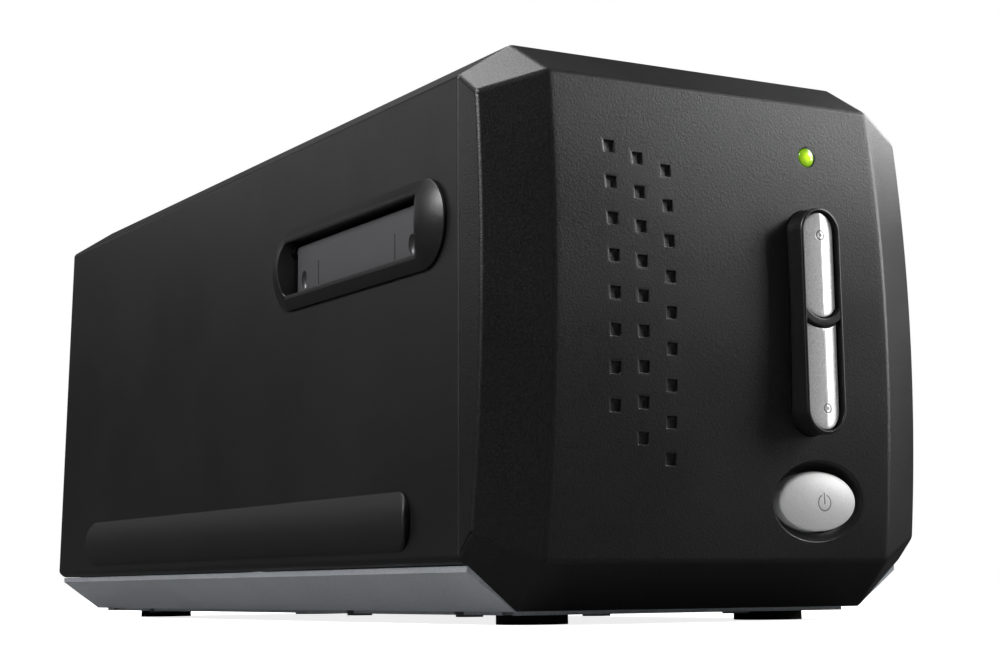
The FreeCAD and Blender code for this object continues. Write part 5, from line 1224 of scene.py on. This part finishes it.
@dataclass
class Key:
    """What every key has behind its cap: a wall, a flange that keeps it in, and a stem to its switch.

    The tip gives the stem's last rings, each by its distance from the end and its share of the radius.
    """

    seat_y: float
    lap: float
    tip: tuple[tuple[float, float], ...]
    flange: float = 1.0
    stem: float = 1.6
    stem_end_y: float = 124.05

    def mount(self, skin: Skin, cap: Array, brim: Array, stem_at: tuple[float, float]) -> None:
        """Joins a cap to its wall and flange, and sets the stem behind them.

        Args:
            skin: Where the faces go.
            cap: The cap's rings (rings, n, 3) from its middle to its edge.
            brim: The flange's outline (n, 2), in x and z.
            stem_at: The stem's place, in x and z.
        """
        seat = -self.seat_y
        wall = cap[-1].copy()
        wall[:, 1] = seat
        edges = [at(brim[:, 0], y, brim[:, 1]) for y in (seat, seat + self.flange)]
        skin.grid(np.stack([*cap, wall, *edges]), 1, closed=True)
        skin.fan(edges[1], 2)
        plan = ellipse(self.stem, self.stem, 24)
        rings = [(seat + self.flange / 2, 1.0), *((-self.stem_end_y - far, share) for far, share in self.tip)]
        skin.rod([in_front(*stem_at, plan * share, y) for y, share in rings], 3, 3)


@dataclass
class ScanKey(Key):
    """One silver scan key: a crowned cap with a ridge along its middle, over a flange and a stem."""

    seat_y: float = 125.6
    lap: float = 0.8
    tip: tuple[tuple[float, float], ...] = ((0.2, 1.0), (0.0, 0.85))
    upper: bool = True
    stem_z: float = 74.5
    half: float = 4.2
    end_z: float = 18.8
    upper_arc: float = 5.1
    lower_arc: float = 7.4
    core_in: float = 0.8
    front_y: float = 135.8
    drop: float = 1.0
    ridge: float = 0.21
    edge: float = 0.45
    insets: tuple[float, ...] = (0.0, 0.04, 0.12, 0.24, 0.45, 0.9, 1.5, 2.2, 3.0, 3.6)

    def outline(self) -> tuple[Array, Array]:
        """The cap's outline and the core point that each of its points moves towards.

        The outer end is a half circle. The inner end is an arc about keys_arc_z, bowed out on the upper key
        and hollowed on the lower one.

        Returns:
            Both as arrays (n, 2), with x from the keys' middle.
        """
        sign, radius = (1.0, self.upper_arc) if self.upper else (-1.0, self.lower_arc)
        turn = np.linspace(0, np.pi, 29)
        centre = PLACES.keys_z + sign * self.end_z
        cap = np.stack([self.half * np.cos(turn), centre + sign * self.half * np.sin(turn)], axis=-1)
        across = self.half * -np.cos(np.linspace(0, np.pi, 23))
        end = np.stack([across, PLACES.keys_arc_z - np.sqrt(radius ** 2 - across ** 2)], axis=-1)
        plan = np.vstack([cap, straight(cap[-1], end[0], 17), end, straight(end[-1], cap[0], 17)])
        limits = sorted((centre, PLACES.keys_arc_z - radius + sign * self.half * self.core_in))
        core = np.stack([np.zeros(len(plan)), np.clip(plan[:, 1], *limits)], axis=-1)
        return plan, core

    def crown(self, x: Array) -> Array:
        """The cap's fall from its ridge: ridge times the distance, and the rest of the drop as its square."""
        reach, slope = np.abs(x) / self.half, self.ridge * self.half
        return slope * reach + (self.drop - slope) * reach ** 2

    def build(self, finishes: Finishes) -> None:
        """The cap, walls, flange and stem.

        Args:
            finishes: The materials.
        """
        plan, core = self.outline()
        rings = inward(plan, core, self.insets, (0.97, 1.0))
        fall = fillet(np.array([*self.insets, self.edge, self.edge]), self.edge)
        cap = in_front(PLACES.keys_x, 0.0, rings, -self.front_y + self.crown(rings[..., 0]) + fall[:, None])
        brim = plan + (plan - core) / np.linalg.norm(plan - core, axis=1, keepdims=True) * self.lap
        skin = Skin()
        self.mount(skin, cap[::-1], brim + np.array([PLACES.keys_x, 0.0]), (PLACES.keys_x, self.stem_z))
        name = "upper" if self.upper else "lower"
        finishes.fit(skin.build(name + "_key_cap"), name + "_scan_button", name + "_scan_key", "button_silver")


@dataclass
class PowerKey(Key):
    """The oval silver power key, domed, with a rounded rim."""

    seat_y: float = 125.31
    lap: float = 0.85
    tip: tuple[tuple[float, float], ...] = ((0.0, 1.0),)
    half: float = 10.2
    tall: float = 6.25
    rim_y: float = 128.8
    rise: float = 1.5
    dome_half: float = 14.0
    edge: float = 0.5
    insets: tuple[float, ...] = (0.0, 0.03, 0.1, 0.2, 0.34, 0.5)

    def build(self, finishes: Finishes) -> None:
        """The dome, walls, flange and stem.

        At a share s of the way out the dome stands rise * (sqrt(1 - s^2 k^2) - r) / (1 - r) above its rim,
        with k = half / dome_half and r = sqrt(1 - k^2).

        Args:
            finishes: The materials.
        """
        k = self.half / self.dome_half
        reach = math.sqrt(1 - k * k)
        sizes = [(self.half - inset, self.tall - inset, inset) for inset in self.insets]
        sizes += [((self.half - self.edge) * share, (self.tall - self.edge) * share, self.edge)
                  for share in np.linspace(0.95, 0.03, 14)]
        rings = []
        for half, tall, inset in sizes:
            plan = ellipse(half, tall)
            s = np.hypot(plan[:, 0] / self.half, plan[:, 1] / self.tall)
            high = self.rise * (np.sqrt(1 - (s * k) ** 2) - reach) / (1 - reach)
            y = -self.rim_y - high + float(fillet(inset, self.edge))
            rings.append(in_front(PLACES.power_x, PLACES.power_z, plan, y))
        middle = (PLACES.power_x, PLACES.power_z)
        skin = Skin()
        brim = ellipse(self.half + self.lap, self.tall + self.lap) + np.array(middle)
        self.mount(skin, np.stack(rings[::-1]), brim, middle)
        skin.fan(rings[-1], 1)
        finishes.fit(skin.build("power_key_cap"), "power_button", "power_key", "button_silver", "power_silver")


@dataclass
class LampLens:
    """The round green lens over the indicator, with its collar and light pipe behind the bezel."""

    radius: float = 2.1
    proud: float = 0.7
    collar: float = 1.0
    back_y: float = 122.4
    wall: float = 2.5

    def build(self, finishes: Finishes) -> None:
        """The lens: a profile turned about its axis.

        Its dome falls by b - sqrt(b^2 - r^2) at a radius r, with b the radius of the ball that it is cut from.

        Args:
            finishes: The materials.
        """
        face = float(SHAPE.front_at(PLACES.lamp_z))
        ball = (self.radius ** 2 + self.proud ** 2) / (2 * self.proud)
        profile = [(r, face - self.proud + ball - math.sqrt(ball ** 2 - r ** 2))
                   for r in np.linspace(0.02, self.radius, 9)]
        near, wide = face + self.wall + self.proud / 2, self.radius + self.collar
        profile += [(self.radius, near), (wide, near), (wide, near + self.collar),
                    (self.radius, near + self.collar), (self.radius, -self.back_y)]
        skin = Skin()
        skin.rod([in_front(PLACES.lamp_x, PLACES.lamp_z, ellipse(radius, radius, 40), y)
                  for radius, y in profile], 1, 1)
        finishes.fit(skin.build("lamp_lens"), "led_lens", "housing", "lens_green")


# Slots and grips in the sides


@dataclass
class SlotFrame:
    """The raised oval frame round a film slot, whose slope swells up to a narrow lip, and the duct inside.

    lip_rings gives the lip's inner edge as pairs of a margin round the opening and a drop. duct_rings gives
    the duct, down its inside and back outside, as pairs of a margin and a place across.
    """

    length: float = 85.4
    height: float = 19.3
    corner: float = 9.5
    back_x: float = 55.35
    edge: float = 0.5
    edge_step: float = 0.12
    opening_length: float = 66.4
    opening_height: float = 12.4
    lip_corner: float = 0.9
    swell_radius: float = 17.0
    end_bulge: float = 1.3
    end_reach: float = 2.0
    lip_band: float = 1.0
    lip_rings: tuple[tuple[float, float], ...] = (
        (0.95, 0.0), (0.3, 0.0), (0.16, 0.05), (0.07, 0.14), (0.02, 0.26))
    duct_rings: tuple[tuple[float, float], ...] = (
        (0.0, 55.2), (0.0, 54.0), (0.0, 50.5), (1.6, 50.5), (1.6, 55.35))

    def ring(self, side: Side, share: float, margin: float, x: float | None = None, bulge: float = 0.0) -> Array:
        """An outline between the flange (share 0) and the opening grown by a margin (share 1).

        Args:
            side: The side of the housing.
            share: How far the outline lies from the flange towards the opening.
            margin: How much larger than the opening the inner outline is.
            x: The outline's place across, or None to lie on the swelling surface.
            bulge: How far the opening's ends bow out at mid height, as a square law of the height.

        Returns:
            The outline (n, 3).
        """
        outer = rounded_rectangle(self.length / 2, self.height / 2, self.corner)
        half, tall = self.opening_length / 2, self.opening_height / 2
        inner = rounded_rectangle(half + margin, tall + margin, self.lip_corner + margin * 0.8)
        at_end = np.clip((np.abs(inner[:, 0]) - half + self.end_reach) / self.end_reach, 0.0, 1.0)
        inner[:, 0] += np.sign(inner[:, 0]) * at_end * bulge * np.clip(1 - (inner[:, 1] / tall) ** 2, 0.0, 1.0)
        plan = outer + (inner - outer) * share
        level = self.surface(plan) if x is None else x
        return on_side(side, level, -PLACES.slot_y + plan[:, 0], PLACES.slot_z + plan[:, 1])

    def surface(self, plan: Array) -> Array:
        """The swelling surface: sqrt(R^2 - r^2) above its foot, with r the distance from the middle line.

        Args:
            plan: Points (n, 2) about the slot's middle.

        Returns:
            Their places across.
        """
        half = self.height / 2
        run = self.length / 2 - half
        reach = np.hypot(plan[:, 0] - np.clip(plan[:, 0], -run, run), plan[:, 1])
        square = self.swell_radius ** 2
        base = math.sqrt(square - half * half)
        return self.back_x + self.edge + np.sqrt(square - np.minimum(reach, half) ** 2) - base

    def build(self, finishes: Finishes, side: Side) -> None:
        """Rings from the flange up its swelling surface, over the flat lip, down the duct and back underneath.

        Args:
            finishes: The materials.
            side: The side of the housing.
        """
        foot = self.back_x + self.edge
        rings = [self.ring(side, 0.0, 0.0, x) for x in (self.back_x, foot - self.edge_step)]
        rings += [self.ring(side, float(share), self.lip_band, None, self.end_bulge)
                  for share in (0.01, 0.04, *np.linspace(0, 1, 13)[1:])]
        lip = rings[-1][:, 0]
        for margin, sink in self.lip_rings:
            ring = self.ring(side, 1.0, margin, 0.0, self.end_bulge)
            ring[:, 0] = lip - side.value * sink
            rings.append(ring)
        rings += [self.ring(side, 1.0, margin, x) for margin, x in self.duct_rings]
        skin = Skin()
        skin.grid(np.stack([*rings, rings[0]]), 1, closed=True)
        name = side.name.lower()
        finishes.fit(skin.build("slot_rim_" + name), name + "_slot_frame", "housing", "case_black")


@dataclass
class DustDoor:
    """The door inside a film slot, hung from stubs along its top, with two thumb notches and two fine slits."""

    low_z: float = 76.15
    high_z: float = 87.2
    half: float = 30.7
    face_x: float = 55.0
    thick: float = 1.6
    foot: float = 0.35
    notch_y: float = 27.0
    notch_half: float = 1.5
    notch_tall: float = 2.3
    notch_depth: float = 1.1
    notch_lean: float = 0.75
    slit_y: float = 19.2
    slit_half: float = 0.22
    slit_tall: float = 2.9
    slit_depth: float = 0.3
    hinge_z: float = 86.0
    stub: float = 0.75
    reach: float = 34.1
    edge: float = 0.22
    fine_edge: float = 0.3

    def build(self, finishes: Finishes, side: Side) -> None:
        """A slab whose outer face is an open grid, with the notches and slits sunk into it.

        A notch is deepest at its rear edge, and its depth falls evenly by notch_lean to its front one.

        Args:
            finishes: The materials.
            side: The side of the housing.
        """
        mid_z, tall = (self.low_z + self.high_z) / 2, (self.high_z - self.low_z) / 2
        xs = np.linspace(-self.half, self.half, 129)
        zs = np.linspace(-tall, tall, 25)
        cuts = [Recess(shape, sign * y, -tall + self.foot + height, half, height, 0.02)
                for shape, y, half, height in ((Hole.OVAL, self.notch_y, self.notch_half, self.notch_tall),
                                               (Hole.SQUARE, self.slit_y, self.slit_half, self.slit_tall))
                for sign in (-1, 1)]
        skin = Skin()

        def place(plan: Array) -> Array:
            """Lays plan points (n, 2) on the door's face."""
            return on_side(side, self.face_x, -PLACES.slot_y + plan[:, 0], mid_z + plan[:, 1])

        for cut, outline in zip(cuts, open_face(skin, xs, zs, place, cuts, 1)):
            rim = place(outline)
            deep = rim.copy()
            if cut.shape is Hole.OVAL:
                share = (cut.x + cut.half - outline[:, 0]) / (2 * cut.half)
                deep[:, 0] -= side.value * self.notch_depth * (1 - self.notch_lean * share)
            else:
                deep[:, 0] -= side.value * self.slit_depth
            skin.grid(np.stack([rim, deep]), FINE_PATCH, closed=True)
            skin.fan(deep, FINE_PATCH)
        front = place(block_edge(xs, zs, (0, len(xs) - 1, 0, len(zs) - 1)))
        back = front - np.array([side.value * self.thick, 0.0, 0.0])
        skin.grid(np.stack([front, back]), 2, closed=True)
        skin.fan(back, 3)
        pin = ellipse(self.stub, self.stub, 24)
        middle = self.face_x - self.thick / 2
        for ends in ((-self.reach, -self.half + 1), (self.half - 1, self.reach)):
            skin.rod([on_side(side, middle + pin[:, 0], -PLACES.slot_y + y, self.hinge_z + pin[:, 1])
                      for y in ends], 4, 5)
        name = side.name.lower()
        item = skin.build("dust_flap_" + name, self.edge, self.fine_edge)
        finishes.fit(item, name + "_dust_door", name + "_door", "door_grey")


@dataclass
class SidePad:
    """The long soft grip low on a side: a crowned bar with rounded ends and pegs behind."""

    front_y: float = 96.1
    rear_y: float = 104.5
    low: float = 15.0
    high: float = 27.4
    corner: float = 5.0
    back_x: float = 56.35
    front_x: float = 58.0
    crown_radius: float = 13.0
    edge: float = 0.5
    edge_drop: float = 0.35
    least: float = 0.05
    peg: float = 1.5
    peg_root: float = 0.3
    peg_length: float = 3.0
    peg_spread: float = 84.0
    insets: tuple[float, ...] = (0.0, 0.04, 0.14, 0.28, 0.5, 1.0, 1.8, 2.8, 3.9, 5.0, 5.8)

    def build(self, finishes: Finishes, side: Side) -> None:
        """The pad's crowned face, its wall and its pegs.

        The face falls from its middle line by crown_radius - sqrt(crown_radius^2 - h^2) at a height h from it.

        Args:
            finishes: The materials.
            side: The side of the housing.
        """
        mid_y, mid_z = (self.rear_y - self.front_y) / 2, (self.low + self.high) / 2
        half_y, half_z = (self.rear_y + self.front_y) / 2, (self.high - self.low) / 2
        plan = rounded_rectangle(half_y, half_z, self.corner, 14, 30)
        run = half_y - half_z
        core = np.stack([np.clip(plan[:, 0], -run, run), np.zeros(len(plan))], axis=-1)
        rings = inward(plan, core, self.insets, (1.0,))
        edge = np.minimum(fillet(np.array([*self.insets, self.edge]), self.edge), self.edge_drop)
        crown = self.crown_radius - np.sqrt(self.crown_radius ** 2 - rings[..., 1] ** 2)
        level = np.maximum(self.front_x - crown - edge[:, None], self.back_x + self.least)
        top = on_side(side, level, mid_y + rings[..., 0], mid_z + rings[..., 1])
        back, spine = (on_side(side, self.back_x, mid_y + line[:, 0], mid_z + line[:, 1]) for line in (plan, core))
        skin = Skin()
        skin.grid(np.stack([*top[::-1], back]), 1, closed=True)
        skin.grid(np.stack([back, spine]), 2, closed=True)
        peg = ellipse(self.peg, self.peg, 24)
        for shift in (-self.peg_spread, 0.0, self.peg_spread):
            skin.rod([on_side(side, x, mid_y + shift + peg[:, 0], mid_z + peg[:, 1])
                      for x in (self.back_x + self.peg_root, self.back_x - self.peg_length)], 3, 3)
        name = side.name.lower()
        finishes.fit(skin.build("grip_pad_" + name), name + "_side_pad", "housing", "pad_rubber")


# Studio


@dataclass(frozen=True)
class Softbox:
    """A rectangular area lamp that looks at a point, all in metres."""

    name: str
    place: tuple[float, float, float]
    size: tuple[float, float]
    watts: float
    aim: tuple[float, float, float] = (0.0, -0.05, 0.06)

    def build(self) -> None:
        """Adds the lamp."""
        data = bpy.data.lights.new(self.name, "AREA")
        data.shape = "RECTANGLE"
        data.size, data.size_y = self.size
        data.energy = self.watts
        lamp = bpy.data.objects.new(self.name, data)
        lamp.location = self.place
        lamp.rotation_euler = (Vector(self.aim) - Vector(self.place)).to_track_quat("-Z", "Y").to_euler()
        bpy.context.scene.collection.objects.link(lamp)


@dataclass
class Studio:
    """The white floor, the background, the lamps and the camera, in metres and radians.

    The lamps are a small and a wide key from the right, one from the front right, an overhead bank, a strong
    one from the left, a weak one from behind on the left, and a low strip from the right. The paper's fibre
    is in millimetres.
    """

    eye: tuple[float, float, float] = (-0.24502, -0.45637, 0.00751)
    yaw: float = 0.5219
    pitch: float = 0.1661
    roll: float = -0.0105
    lens: float = 70.92
    shift: tuple[float, float] = (0.01494, -0.07281)
    reflected: float = 0.04
    ambient: float = 0.03
    floor_half: float = 6.0
    floor_in_gloss: str = "#484848"
    fibre: float = 4.0
    halo: tuple[float, float, float, float] = (0.25, 0.9, 0.88, 1.0)
    lamps: tuple[Softbox, ...] = (
        Softbox("key", (1.294, 0.113, 0.81), (0.9, 0.6), 10.0),
        Softbox("wide_key", (1.187, -0.318, 0.92), (1.3, 0.7), 3.5),
        Softbox("front_right", (1.05, -0.7, 0.7), (0.4, 0.35), 9.5),
        Softbox("overhead", (-0.12, 0.42, 1.28), (0.7, 0.7), 7.0),
        Softbox("left", (-1.093, -0.154, 0.922), (0.6, 0.5), 24.0),
        Softbox("rear_left", (-0.66, 1.15, 0.55), (0.5, 0.3), 0.55),
        Softbox("low_strip", (1.22, -0.55, 0.3), (0.45, 0.4), 3.7),
    )

    def camera(self) -> None:
        """Places the camera. It looks along (sin yaw cos pitch, cos yaw cos pitch, sin pitch), then rolls."""
        ahead = np.array([math.sin(self.yaw) * math.cos(self.pitch), math.cos(self.yaw) * math.cos(self.pitch),
                          math.sin(self.pitch)])
        right = np.array([math.cos(self.yaw), -math.sin(self.yaw), 0.0])
        up = np.cross(right, ahead)
        turned = math.cos(self.roll) * right + math.sin(self.roll) * up
        upright = -math.sin(self.roll) * right + math.cos(self.roll) * up
        data = bpy.data.cameras.new("photo_view")
        data.lens, data.sensor_width = self.lens, 36.0
        data.shift_x, data.shift_y = self.shift
        data.clip_start, data.clip_end = 0.01, 50.0
        item = bpy.data.objects.new("photo_view", data)
        turn = Matrix(np.stack([turned, upright, -ahead], axis=1).tolist())
        item.matrix_world = Matrix.Translation(self.eye) @ turn.to_4x4()
        bpy.context.scene.collection.objects.link(item)
        bpy.context.scene.camera = item

    def floor(self) -> None:
        """A wide white floor, a little greyer near the object to the camera, dark in its gloss.

        halo gives that grey as two distances from the object and the glow at each.
        """
        half = self.floor_half
        mesh = bpy.data.meshes.new("floor")
        mesh.from_pydata([(-half, -half, 0), (half, -half, 0), (half, half, 0), (-half, half, 0)], [],
                         [(0, 1, 2, 3)])
        item = bpy.data.objects.new("floor", mesh)
        bpy.context.scene.collection.objects.link(item)
        material, put, where = fresh_material("seamless_paper")
        fibre = put("TexNoise", {"Vector": where, "Scale": scale(self.fibre), "Detail": 3.0, "Roughness": 0.55})
        colour = put("Mix", shades(fibre, "#f4f4f4", "#ffffff"), data_type="RGBA")
        path = put("LightPath").outputs
        level = put("MapRange", (put("VectorMath", (where,), operation="LENGTH"), *self.halo))
        seen = put("Math", (path["Is Camera Ray"], level), operation="MULTIPLY")
        paper = put("BsdfDiffuse", {"Color": colour, "Roughness": 0.5})
        dim = put("BsdfDiffuse", {"Color": linear(self.floor_in_gloss), "Roughness": 0.5})
        ground = put("MixShader", (path["Is Glossy Ray"], paper, dim))
        glow = put("Emission", {"Color": colour, "Strength": seen})
        put("OutputMaterial", {"Surface": put("AddShader", (ground, glow))})
        mesh.materials.append(material)

    def world(self) -> None:
        """White behind the object, seen dimly in its gloss, with a low even light everywhere else."""
        world = bpy.data.worlds.new("studio")
        bpy.context.scene.world = world
        world.use_nodes = True
        world.node_tree.nodes.clear()
        put = partial(add, world.node_tree)
        path = put("LightPath").outputs
        shine = put("Math", (path["Is Glossy Ray"], path["Is Transmission Ray"]), operation="MAXIMUM")
        dim = put("Math", (shine, self.reflected - self.ambient, self.ambient), operation="MULTIPLY_ADD")
        level = put("Math", (path["Is Camera Ray"], dim), operation="MAXIMUM")
        put("OutputWorld", {"Surface": put("Background", {"Color": (1, 1, 1, 1), "Strength": level})})

    def build(self) -> None:
        """Everything round the object."""
        bpy.context.scene.view_settings.view_transform = "Standard"
        self.camera()
        self.floor()
        self.world()
        for lamp in self.lamps:
            lamp.build()


def main() -> None:
    """Builds the studio and the pieces."""
    logging.basicConfig(level=logging.INFO, format="%(message)s")
    Studio().build()
    finishes = Finishes()
    finishes.carry_over()
    for piece in (TopCover(), FrontBezel(), KeySurround(), ScanKey(), ScanKey(upper=False, stem_z=51.0),
                  PowerKey(), LampLens()):
        piece.build(finishes)
    for side in Side:
        for piece in (SlotFrame(), DustDoor(), SidePad()):
            piece.build(finishes, side)


if __name__ == "__main__":
    main()
